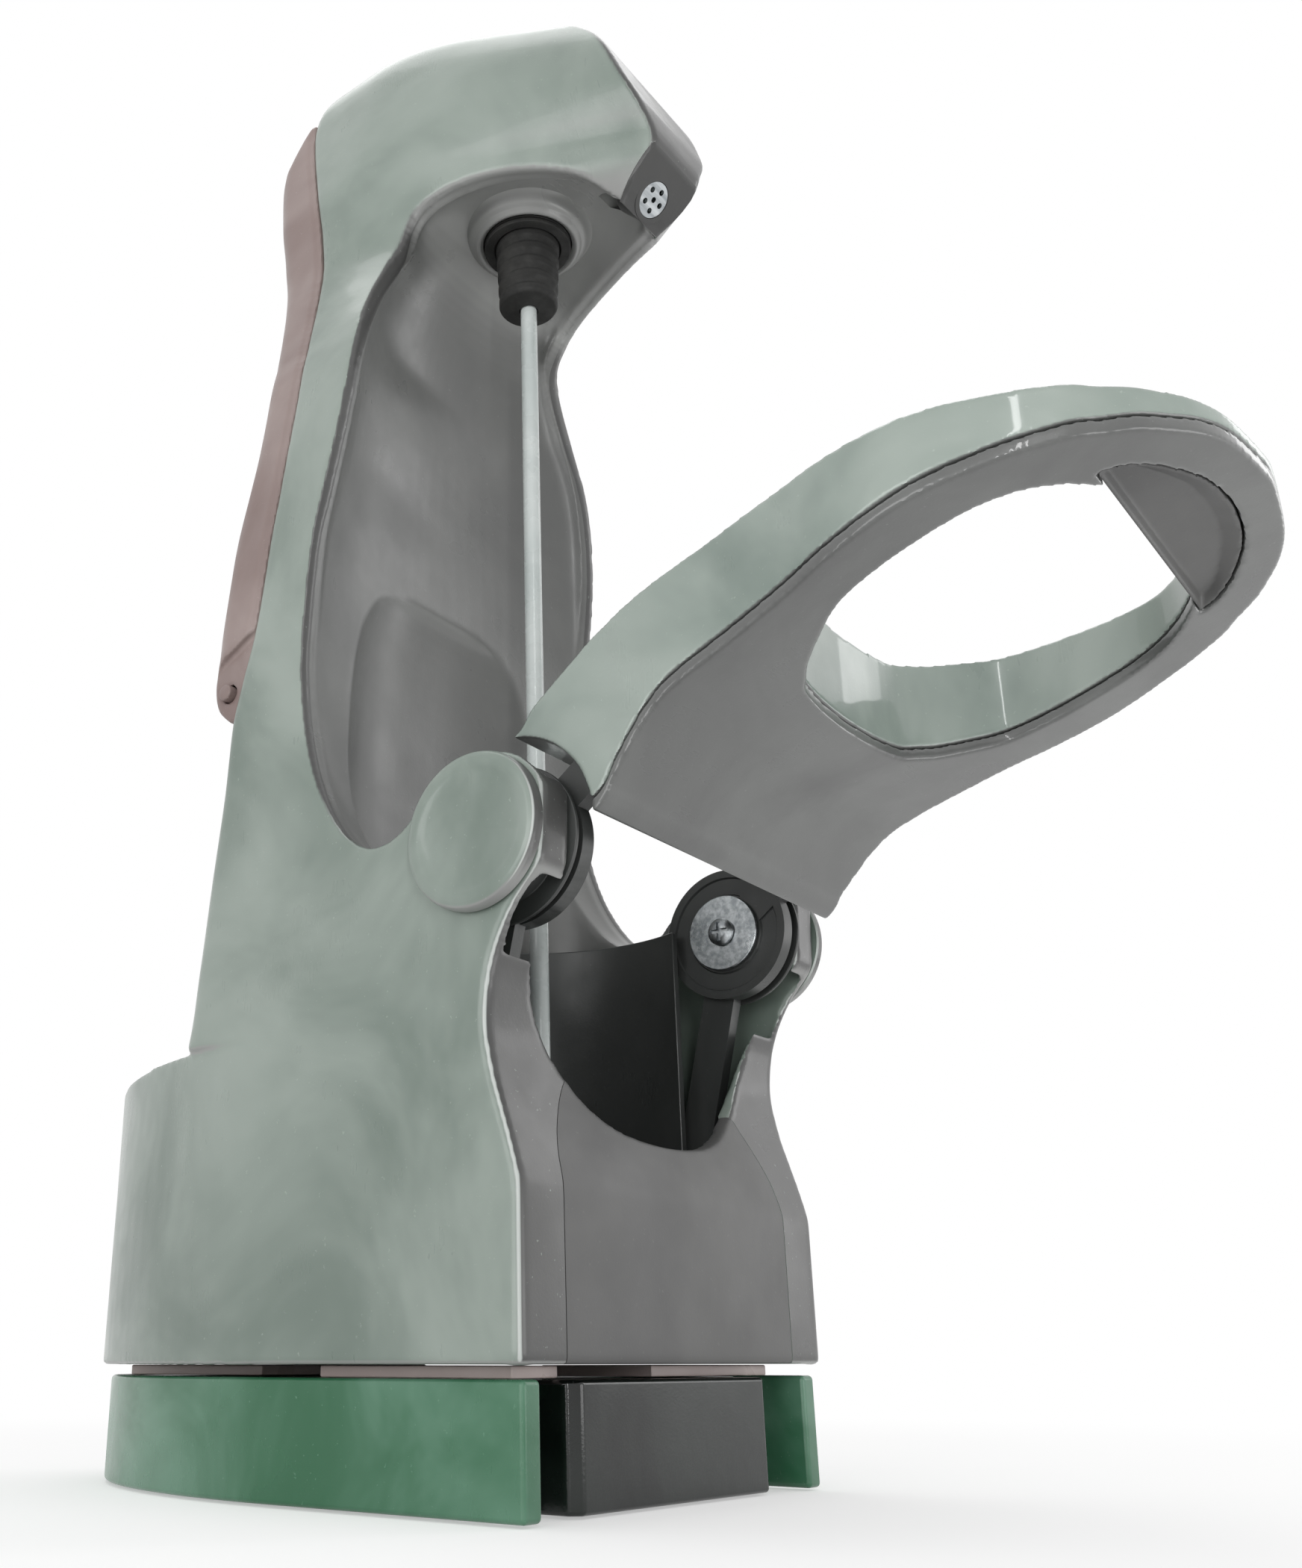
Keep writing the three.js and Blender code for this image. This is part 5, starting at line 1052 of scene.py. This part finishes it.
# %% Build the bay's fittings
CRADLE_FRONT, PLATFORM_TOP, PLATFORM_THICK, PLATFORM_SKIRT = 0.022, 0.045, 0.003, 0.036
MAT_TOP_THICK, MAT_RADIUS, ROOM_TOP = 0.002, 0.037, 0.2
COLLAR_BORE, COLLAR_LOW, COLLAR_TOP = 0.0134, 0.345, 0.3524
floor_top = BOTTOM + SEAM + WALL
cradle = turned("cradle_wall", pipe(BAY_RADIUS, BAY_RADIUS + CRADLE_THICK, floor_top + SEAM,
                                    CRADLE_TOP), "z", BAY, 192, True)
combine(cradle, [block("open", (-FAR, FAR), (-FAR, FRONT + CRADLE_FRONT), (0, FAR))])
soften_piece(cradle, 0.0006, 3)


def casing_room(inset):
    line = plan_line(up_at(ROOM_TOP), inset, *INNER_STEPS)
    return prism("room", line, 0, up_at(ROOM_TOP), "plan")


plate_under, skirt_in = PLATFORM_TOP - PLATFORM_THICK, PLATFORM_SKIRT - PLATFORM_THICK
platform = turned("stand_plate", [
    (0, plate_under), (skirt_in, plate_under), (skirt_in, floor_top + SEAM),
    (PLATFORM_SKIRT, floor_top + SEAM), (PLATFORM_SKIRT, plate_under),
    (BAY_RADIUS - SEAM, plate_under), (BAY_RADIUS - SEAM, PLATFORM_TOP), (0, PLATFORM_TOP)],
    "z", BAY, 160)
combine(platform, [casing_room(WALL + 2 * SEAM)], "INTERSECT")
soften_piece(platform, 0.0005, 2)
mat_low, mat_high = PLATFORM_TOP + SEAM, PLATFORM_TOP + SEAM + MAT_TOP_THICK
GROOVES, GROOVE_DEEP, GROOVE_RIM, GROOVE_FLOOR = 7, 0.0006, 0.0009, 0.0006
ring_step = MAT_RADIUS / (GROOVES + 1)
rings = [(MAT_RADIUS, mat_low), (MAT_RADIUS, mat_high)]
for i in range(GROOVES, 0, -1):
    at = i * ring_step
    rings += [(at + GROOVE_RIM, mat_high), (at + GROOVE_FLOOR, mat_high - GROOVE_DEEP),
              (at - GROOVE_FLOOR, mat_high - GROOVE_DEEP), (at - GROOVE_RIM, mat_high)]
mat = turned("stand_mat", [(0, mat_low)] + rings + [(0, mat_high)], "z", BAY, 160)
combine(mat, [casing_room(WALL + 2 * SEAM)], "INTERSECT")
collar_mid = (COLLAR_BORE + COLLAR_RADIUS) / 2
collar_line = smooth_line([(COLLAR_BORE, COLLAR_LOW + 0.001), (collar_mid, COLLAR_LOW),
                           (COLLAR_RADIUS, COLLAR_LOW + 0.0014)], 14)
COLLAR_FLARE = [(0.0164, 0.3464), (0.0175, 0.3472), (0.0193, 0.3497), (0.0222, 0.3524)]
collar = turned("collar_ring", collar_line + smooth_line(COLLAR_FLARE, 16)
                + [(COLLAR_BORE, COLLAR_TOP)], "z", BAY, 128, True)
TIP, TIP_RADIUS, NECK_RADIUS, FLANGE, FLANGE_HIGH, FLANGE_OUT = (
    0.322, 0.0086, 0.0096, 0.3458, 0.006, 0.013)
BODY_RADIUS, STOPPER_TOP, TUBE_RADIUS, TUBE_BORE = 0.009, 0.362, 0.0024, 0.0015
TUBE_LENGTH, TUBE_TOP = 0.268, 0.328
bore = TUBE_RADIUS + SEAM
RIBS, RIB_STEP, RIB_RISE, SEAL_THICK = 5, 0.0006, 0.0008, 0.0014
ribs = []
for i in range(RIBS):
    low = TIP + (FLANGE - TIP) * (i + 0.2) / RIBS
    high = TIP + (FLANGE - TIP) * (i + 0.8) / RIBS
    wide = TIP_RADIUS + (NECK_RADIUS - TIP_RADIUS) * (i + 0.5) / RIBS
    ribs += [(wide - RIB_STEP, low), (wide, low + RIB_RISE), (wide, high),
             (wide - RIB_STEP, high + RIB_STEP)]
stopper = turned("stopper_plug", [(bore, TIP)] + ribs + [
    (FLANGE_OUT, FLANGE), (FLANGE_OUT, FLANGE + FLANGE_HIGH), (BODY_RADIUS, FLANGE + FLANGE_HIGH),
    (BODY_RADIUS, STOPPER_TOP), (bore, STOPPER_TOP)], "z", BAY, 96, True, 0.0003)
seal = turned("mouth_gasket", pipe(NECK_RADIUS + SEAM, FLANGE_OUT, FLANGE - SEAM - SEAL_THICK,
                                   FLANGE - SEAM), "z", BAY, 96, True, 0.0004)
tube = turned("dip_straw", pipe(TUBE_BORE, TUBE_RADIUS, TUBE_TOP - TUBE_LENGTH, TUBE_TOP), "z",
              BAY, 48, True, 0.0002)
fittings = {"bottle_cradle": cradle, "bottle_platform": platform, "platform_mat": mat,
            "collar_boss": collar, "bottle_stopper": stopper, "mouth_seal": seal,
            "dip_tube": tube}
for piece in fittings.values():
    smooth_shade(piece, 35)
print("fittings", {name: triangles(piece) for name, piece in fittings.items()})

# %% [markdown]
# The sieve has six holes, one in the middle and five round it, in a dark bezel with a sleeve.

# %% Build the spout's bezel and sieve
HOLE_RADIUS, HOLE_RING, HOLES = 0.0008, 0.003, 5
bezel = body_loft("spout_frame", 0, BOTTOM, FINE_STEPS)
combine(bezel, [spout_slab(BEZEL_THICK - SEAM / 2)], "INTERSECT")
combine(bezel, [mouth_cutter()])
largest_part(bezel)
sleeve_radius = STRAINER_RADIUS + SEAM / 2
combine(bezel, [spout_turned("sleeve", rod(sleeve_radius + SLEEVE_WALL, -SLEEVE_DEPTH, 0))],
        "UNION")
combine(bezel, [spout_turned("bore", rod(sleeve_radius, -SLEEVE_DEPTH - PAST, PAST))])
sieve = spout_turned("sieve_disc", rod(STRAINER_RADIUS, -STRAINER_BACK - STRAINER_THICK,
                                       -STRAINER_BACK))
places = [(0, 0)] + [(HOLE_RING * math.cos(a), HOLE_RING * math.sin(a))
                     for a in (i / HOLES * 2 * math.pi for i in range(HOLES))]
combine(sieve, [spout_turned("hole", rod(HOLE_RADIUS, -SLEEVE_DEPTH, 0), 24, x=x, y=y)
                for x, y in places])
soften_piece(sieve, 0.00015, 2)
for piece in (bezel, sieve):
    smooth_shade(piece, 35)
print("bezel", triangles(bezel), "sieve", triangles(sieve), "triangles")

# %% [markdown]
# Shader maths reads best as plain expressions. A small class wraps a socket, so that an operator
# adds its Math node, and one method adds any other node from its settings and its inputs.


# %% A small kit for materials
class Wire:
    def __init__(self, recipe, socket):
        self.recipe, self.socket = recipe, socket

    def maths(self, operation, a, b):
        return self.recipe.add("ShaderNodeMath", {"operation": operation}, {0: a, 1: b})

    def __add__(self, other):
        return self.maths("ADD", self, other)

    def __mul__(self, other):
        return self.maths("MULTIPLY", self, other)

    __radd__ = __add__
    __rmul__ = __mul__


def linear(colour):
    """An sRGB colour written in 0 to 255, as the shader's own linear values."""
    values = [c / 255 for c in colour]
    return [v / 12.92 if v <= 0.04045 else ((v + 0.055) / 1.055) ** 2.4 for v in values] + [1]


class Recipe:
    """The nodes of a material or of the world."""

    def __init__(self, owner):
        owner.use_nodes = True
        self.owner, self.tree = owner, owner.node_tree
        self.tree.nodes.clear()
        self.place = self.add("ShaderNodeTexCoord", output="Object")

    def add(self, kind, settings=None, sockets=None, output=0):
        node = self.tree.nodes.new(kind)
        for key, value in (settings or {}).items():
            setattr(node, key, value)
        for key, value in (sockets or {}).items():
            if isinstance(value, Wire):
                self.tree.links.new(value.socket, node.inputs[key])
            else:
                node.inputs[key].default_value = value
        return Wire(self, node.outputs[output])

    def noise(self, scale, detail=2, roughness=0.5, stretch=None, distortion=0):
        place = self.place
        if stretch:
            place = self.add("ShaderNodeMapping", sockets={"Vector": place, "Scale": stretch})
        return self.add("ShaderNodeTexNoise", sockets={
            "Vector": place, "Scale": scale, "Detail": detail, "Roughness": roughness,
            "Distortion": distortion})

    def between(self, value, low, high, to_low=0.0, to_high=1.0):
        """Maps low to high smoothly onto to_low to to_high."""
        return self.add("ShaderNodeMapRange", {"interpolation_type": "SMOOTHSTEP"}, {
            "Value": value, "From Min": low, "From Max": high, "To Min": to_low,
            "To Max": to_high})

    def mix(self, share, a, b):
        """Mixes two colours, each a wire or a written colour."""
        node = self.tree.nodes.new("ShaderNodeMix")
        node.data_type = "RGBA"
        for key, value in ((0, share), (6, a), (7, b)):
            if isinstance(value, Wire):
                self.tree.links.new(value.socket, node.inputs[key])
            else:
                node.inputs[key].default_value = value if key == 0 else linear(value)
        return Wire(self, node.outputs[2])

    def part(self, wire, axis):
        return self.add("ShaderNodeSeparateXYZ", sockets={0: wire}, output=axis)

    def facing(self, axis, low, high, sign):
        """One where the surface faces along that axis, and nought where it faces away."""
        normal = self.add("ShaderNodeTexCoord", output="Normal")
        return self.between(self.part(normal, axis) * sign, low, high)

    def seen(self):
        """One for rays of the camera and of reflections, and nought for those that light."""
        rays = [self.add("ShaderNodeLightPath", output=name)
                for name in ("Is Camera Ray", "Is Glossy Ray", "Is Transmission Ray")]
        return self.add("ShaderNodeClamp", sockets={0: rays[0] + rays[1] + rays[2]})

    def close(self, wire, kind="ShaderNodeOutputMaterial"):
        self.tree.links.new(wire.socket, self.tree.nodes.new(kind).inputs[0])
        return self.owner

    def finish(self, colour, roughness, grain, depth, **constants):
        """Ends the recipe with one surface. grain is the height of its fine relief."""
        bump = self.add("ShaderNodeBump", sockets={"Strength": 1.0, "Distance": depth,
                                                   "Height": grain})
        shader = self.tree.nodes.new("ShaderNodeBsdfPrincipled")
        for key, value in {"Base Color": colour, "Roughness": roughness, "Normal": bump}.items():
            self.tree.links.new(value.socket, shader.inputs[key])
        for key, value in constants.items():
            shader.inputs[key.replace("_", " ").title()].default_value = value
        return self.close(Wire(self, shader.outputs[0]))


def new_material(name):
    return Recipe(bpy.data.materials.new(name))


print("material kit ready")

# %% [markdown]
# The body and the lever are nearly the same grey-green gloss plastic. Soft clouds of tone in it
# stand partly for mould flow and partly for painted reflections, handling leaves a faint haze and
# hairline scratches, and the moulded skin has a fine orange peel. By the way a face turns, faces
# to the front get a darker neutral grey as painted shade. Faces to the floor get a paler grey as
# painted fill light on the body and a neutral grey as painted shade on the lever. The lower front
# corners get a painted highlight.


# %% Finishes of the plastics
# A pale painted highlight on the lower front corners: which way its faces turn, its tone, its
# strength and the height over which it fades.
HIGHLIGHT_TURN, HIGHLIGHT_TONE, HIGHLIGHT_SHARE, HIGHLIGHT_FADE = (0.42, 0.62), (214, 220, 216), 0.85, 0.03
SPECK_PALER, SPECK_SHARE = 26, 0.35


def moulded(name, dark, light, shine=(0.24, 0.4), cloud=16, peel=0.00002, painted_light_turns=(), highlight_below=None,
            **constants):
    """Moulded plastic. Each turn is (axis, low, high, dark, light), for faces that look down or to
    the front. Those faces get other tones there: painted shade on some, painted fill light on
    others. The last setting is the height under which the front corners get a painted highlight."""
    recipe = new_material(name)
    # The clouds are partly mould flow and partly painted reflections of the room.
    clouds = recipe.between(recipe.noise(cloud, 4, 0.55, distortion=0.6), 0.3, 0.7)
    colour = recipe.mix(clouds, dark, light)
    # Faces that turn to the front or down take other tones: painted shade or painted fill light.
    for axis, low, high, *painted_tones in painted_light_turns:
        share = recipe.facing(axis, low, high, -1.0)
        colour = recipe.mix(share, colour, recipe.mix(clouds, *painted_tones))
    # Painted highlight: the lower front corners turn paler.
    if highlight_below:
        highlight_height_mask = recipe.between(recipe.part(recipe.place, 2), highlight_below - HIGHLIGHT_FADE, highlight_below, 1.0, 0.0)
        highlight_sideways = recipe.facing(0, *HIGHLIGHT_TURN, 1.0) + recipe.facing(0, *HIGHLIGHT_TURN, -1.0)
        corner = highlight_sideways * recipe.facing(1, *HIGHLIGHT_TURN, -1.0) * highlight_height_mask
        colour = recipe.mix(corner * HIGHLIGHT_SHARE, colour, HIGHLIGHT_TONE)
    specks = recipe.between(recipe.noise(900, 2, 0.6), 0.68, 0.78)
    pale = [min(255, c + SPECK_PALER) for c in light]
    colour = recipe.mix(specks * SPECK_SHARE, colour, pale)
    haze = recipe.noise(38, 3, 0.6)
    scratch = recipe.noise(120, 2, 0.5, stretch=(1, 9, 1))
    rough = recipe.between(haze, 0.3, 0.75, *shine) + scratch * 0.05
    skin = recipe.noise(1500, 2, 0.5) + recipe.noise(260, 1, 0.5) * 1.5
    return recipe.finish(colour, rough, skin, peel, **constants)


SIDE = ((114, 128, 119), (158, 169, 161))
# Painted shade: faces that turn to the front are painted a darker, neutral grey.
FRONT_SHADE_GREY = ((68, 68, 68), (82, 82, 81))
MATT = {"shine": (0.42, 0.55), "coat_weight": 0.1, "coat_roughness": 0.2}
# Faces that turn to the floor. The first grey is painted shade on the lever, and it is also the
# lever cover's colour, partly its own grey and partly painted shade. The second is a paler grey,
# painted fill light under the body's head and in the liner.
UNDER_GREY_AND_SHADE = ((90, 91, 90), (108, 110, 108))
UNDER_FILL_LIGHT = ((150, 150, 149), (166, 167, 165))
GLOSS = {"coat_weight": 0.6, "coat_roughness": 0.07}
FRONT_SHADE_TURN, UNDER_SHADE_AND_LIGHT_TURN = (1, 0.35, 0.75, *FRONT_SHADE_GREY), (2, 0.3, 0.7)
finishes = {
    "casing_plastic": moulded("casing gloss plastic", *SIDE, coat_weight=0.25, coat_roughness=0.1,
                              painted_light_turns=(FRONT_SHADE_TURN, UNDER_SHADE_AND_LIGHT_TURN + UNDER_FILL_LIGHT), highlight_below=0.16),
    "lever_plastic": moulded("lever gloss plastic", (124, 138, 130), (168, 179, 171),
                             painted_light_turns=(UNDER_SHADE_AND_LIGHT_TURN + UNDER_GREY_AND_SHADE,), **GLOSS),
    "cover_plastic": moulded("lever cover plastic", *UNDER_GREY_AND_SHADE, cloud=24, **GLOSS),
    "inner_plastic": moulded("liner plastic with painted fill light", (96, 97, 96), (114, 115, 113), coat_weight=0.25,
                             coat_roughness=0.25, painted_light_turns=(UNDER_SHADE_AND_LIGHT_TURN + UNDER_FILL_LIGHT,)),
    # The bib's grey is partly its own colour and partly painted shade, darker because the front
    # lies in shade.
    "bib_grey_and_shade": moulded("bib grey plastic with painted shade", (80, 80, 80), (94, 94, 93), **MATT),
    "bezel_plastic": moulded("bezel plastic", (66, 66, 66), (78, 78, 77)),
    "dark_plastic": moulded("dark fitting plastic", (56, 58, 57), (72, 74, 73)),
    "mauve_plastic": moulded("mauve plastic", (132, 114, 110), (164, 148, 144), shine=(0.3, 0.5)),
    # The spacers are painted pale: painted light in the gap, where shade falls.
    "spacer_plastic": moulded("mauve plastic with painted light", (196, 178, 174), (216, 200, 196)),
    "green_plastic": moulded("green foot plastic", (44, 104, 70), (104, 148, 124), cloud=22,
                             shine=(0.16, 0.3)),
    "black_plastic": moulded("dark block plastic", (10, 14, 13), (32, 38, 35), cloud=30,
                             shine=(0.1, 0.2)),
    "natural_plastic": moulded("natural pump plastic", (206, 204, 194), (222, 220, 212)),
}
print(len(finishes), "plastic finishes")

# %% [markdown]
# Rubber is dull with a fine grain, the tubes are milky and smooth, and the steel is brushed.


# %% Finishes of the rubber, the tubes and the steel
def rubbery(name):
    recipe = new_material(name)
    dust = recipe.between(recipe.noise(60, 4, 0.6), 0.45, 0.75)
    colour = recipe.mix(dust * 0.5, (40, 40, 39), (72, 71, 68))
    rough = recipe.between(recipe.noise(300, 2), 0.3, 0.7, 0.7, 0.9)
    return recipe.finish(colour, rough, recipe.noise(2600, 2, 0.6), 0.00006)


def milky(name):
    recipe = new_material(name)
    clouds = recipe.between(recipe.noise(45, 3), 0.35, 0.65)
    colour = recipe.mix(clouds, (196, 204, 202), (216, 222, 220))
    rough = recipe.between(recipe.noise(200, 2), 0.3, 0.7, 0.2, 0.34)
    return recipe.finish(colour, rough, recipe.noise(900, 1), 0.00002, coat_weight=0.3)


def brushed(name):
    recipe = new_material(name)
    lines = recipe.noise(700, 3, 0.6, stretch=(0.08, 1, 1))
    colour = recipe.mix(recipe.between(lines, 0.3, 0.7), (150, 155, 158), (196, 200, 202))
    rough = recipe.between(recipe.noise(90, 3), 0.3, 0.7, 0.24, 0.4)
    return recipe.finish(colour, rough, lines, 0.00003, metallic=1.0)


finishes["rubber"] = rubbery("soft rubber")
finishes["soft_tube"] = milky("milky tube")
finishes["steel"] = brushed("brushed steel")
print(len(finishes), "finishes in all")

# %% [markdown]
# Every new piece rides on the body of the CAD node that it stands for, and hides that node. CAD
# nodes that stay hidden inside keep their own meshes and get a finish as well.

# %% Dress and attach every piece
def dress(piece, finish, slot, *replaced):
    piece.data.materials.clear()
    piece.data.materials.append(finishes[finish])
    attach(piece, nodes[replaced[0]]["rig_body"])
    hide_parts(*replaced)


dress(casing, "casing_plastic", "casing_plastic", "main_casing")
dress(bib, "bib_grey_and_shade", "inner_plastic", "front_bib")
dress(liner, "inner_plastic", "inner_plastic", "back_liner")
dress(lever_shell, "lever_plastic", "casing_plastic", "lever_upper_shell")
dress(lever_cover, "cover_plastic", "inner_plastic", "lever_lower_cover")
dress(finger_rest, "bib_grey_and_shade", "inner_plastic", "finger_rest")
dress(rear_cap, "mauve_plastic", "mauve_plastic", "rear_cover")
dress(pin_right, "mauve_plastic", "mauve_plastic", "cover_pin_right")
dress(pin_left, "mauve_plastic", "mauve_plastic", "cover_pin_left")
dress(skirt, "green_plastic", "green_plastic", "foot_skirt")
dress(front_block, "black_plastic", "black_plastic", "foot_front_block")
dress(deck, "green_plastic", "green_plastic", "foot_deck")
dress(grip, "rubber", "rubber", "grip_mat")
for node, piece in risers.items():
    dress(piece, "spacer_plastic", "mauve_plastic", node)
HUB_FINISH = {"hub_cap": "casing_plastic", "hub_barrel": "dark_plastic", "crank": "dark_plastic",
              "hub_axle": "steel", "hub_washer": "steel", "hub_screw": "steel",
              "crank_pin": "steel"}
for name, piece in hub_sets.items():
    twin = mirrored(piece, piece.name.replace("right", "left"))
    dress(piece, HUB_FINISH[name], HUB_FINISH[name], name + "_right")
    dress(twin, HUB_FINISH[name], HUB_FINISH[name], name + "_left")
FITTING_SLOT = {"platform_mat": "rubber", "bottle_stopper": "rubber", "mouth_seal": "rubber",
                "dip_tube": "soft_tube"}
for name, piece in fittings.items():
    slot = FITTING_SLOT.get(name, "dark_plastic")
    dress(piece, "inner_plastic" if name == "collar_boss" else slot, slot, name)
dress(bezel, "bezel_plastic", "inner_plastic", "spout_bezel")
dress(sieve, "steel", "steel", "spout_strainer")
KEPT = {"body_floor": "dark_plastic", "foot_plate": "black_plastic", "pump_cylinder":
        "natural_plastic", "cylinder_cap": "natural_plastic", "piston": "natural_plastic",
        "piston_seal": "rubber", "piston_rod": "steel", "piston_yoke": "dark_plastic",
        "outlet_valve": "dark_plastic", "air_hose": "soft_tube", "air_fitting": "dark_plastic",
        "spout_tube": "soft_tube", "return_spring_right": "steel",
        "return_spring_left": "steel"}
for name, finish in KEPT.items():
    nodes[name].data.materials.clear()
    nodes[name].data.materials.append(finishes[finish])

# %% [markdown]
# The studio is a pale floor under soft lamps. The floor and the world look white to the camera and
# in reflections, while they light the object at a plain level, so that a colour renders about as
# it is written.


# %% Floor, lamps and world
WHITE, FLOOR_GREY, PLAIN_LEVEL = (1, 1, 1, 1), (0.8, 0.8, 0.8, 1), 0.42
FLOOR_SIZE, WHITE_FROM, WHITE_TO = 6, 0.14, 0.55


def studio_floor():
    bm = bmesh.new()
    bmesh.ops.create_grid(bm, x_segments=1, y_segments=1, size=FLOOR_SIZE)
    floor = place_piece("studio_floor", bm)
    recipe = new_material("pale floor")
    seen = recipe.seen()
    diffuse = recipe.add("ShaderNodeBsdfDiffuse", sockets={"Color": FLOOR_GREY})
    glow = recipe.add("ShaderNodeEmission", sockets={"Color": WHITE, "Strength": PLAIN_LEVEL})
    both = recipe.add("ShaderNodeAddShader", sockets={0: diffuse, 1: glow})
    near = recipe.add("ShaderNodeMixShader", sockets={0: seen, 1: diffuse, 2: both})
    white = recipe.add("ShaderNodeEmission", sockets={"Color": WHITE, "Strength": 1.0})
    reach = recipe.add("ShaderNodeVectorMath", {"operation": "LENGTH"}, {0: recipe.place},
                       output=1)
    far = recipe.between(reach, WHITE_FROM, WHITE_TO)
    mix = recipe.add("ShaderNodeMixShader", sockets={0: far * seen, 1: near, 2: white})
    floor.data.materials.append(recipe.close(mix))
    floor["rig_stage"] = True


def lamp(name, place, size, watts, target=(0, 0, 0.2)):
    data = bpy.data.lights.new(name, "AREA")
    data.shape = "RECTANGLE"
    data.size, data.size_y = size
    data.energy = watts
    light = bpy.data.objects.new(name, data)
    light.location = place
    light.rotation_euler = (Vector(target) - Vector(place)).to_track_quat("-Z", "Y").to_euler()
    scene.collection.objects.link(light)


def studio_world():
    recipe = Recipe(bpy.data.worlds.new("studio"))
    level = recipe.between(recipe.seen(), 0.0, 1.0, PLAIN_LEVEL, 1.0)
    back = recipe.add("ShaderNodeBackground", sockets={"Color": WHITE, "Strength": level})
    scene.world = recipe.close(back, "ShaderNodeOutputWorld")


studio_floor()
lamp("left window", (-1.2, -0.1, 0.12), (0.9, 0.7), 6.2)
lamp("top panel", (0.1, 0.1, 1.3), (1.0, 0.8), 3.4)
lamp("low front panel", (0.05, -0.42, 0.01), (0.24, 0.24), 0.5, (0, -0.06, 0.35))
lamp("corner strip", (-0.75, -0.75, 0.35), (0.05, 0.9), 2.2)
lamp("right strip", (1.0, -0.7, 0.5), (0.25, 0.9), 1.5)
studio_world()
scene.view_settings.view_transform = "Standard"

# %% [markdown]
# Last, the visual model's own box is measured and printed, in millimetres.

# %% Measure and finish
low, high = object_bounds()
print("visual box in mm", [round(1000 * (b - a), 1) for a, b in zip(low, high)])
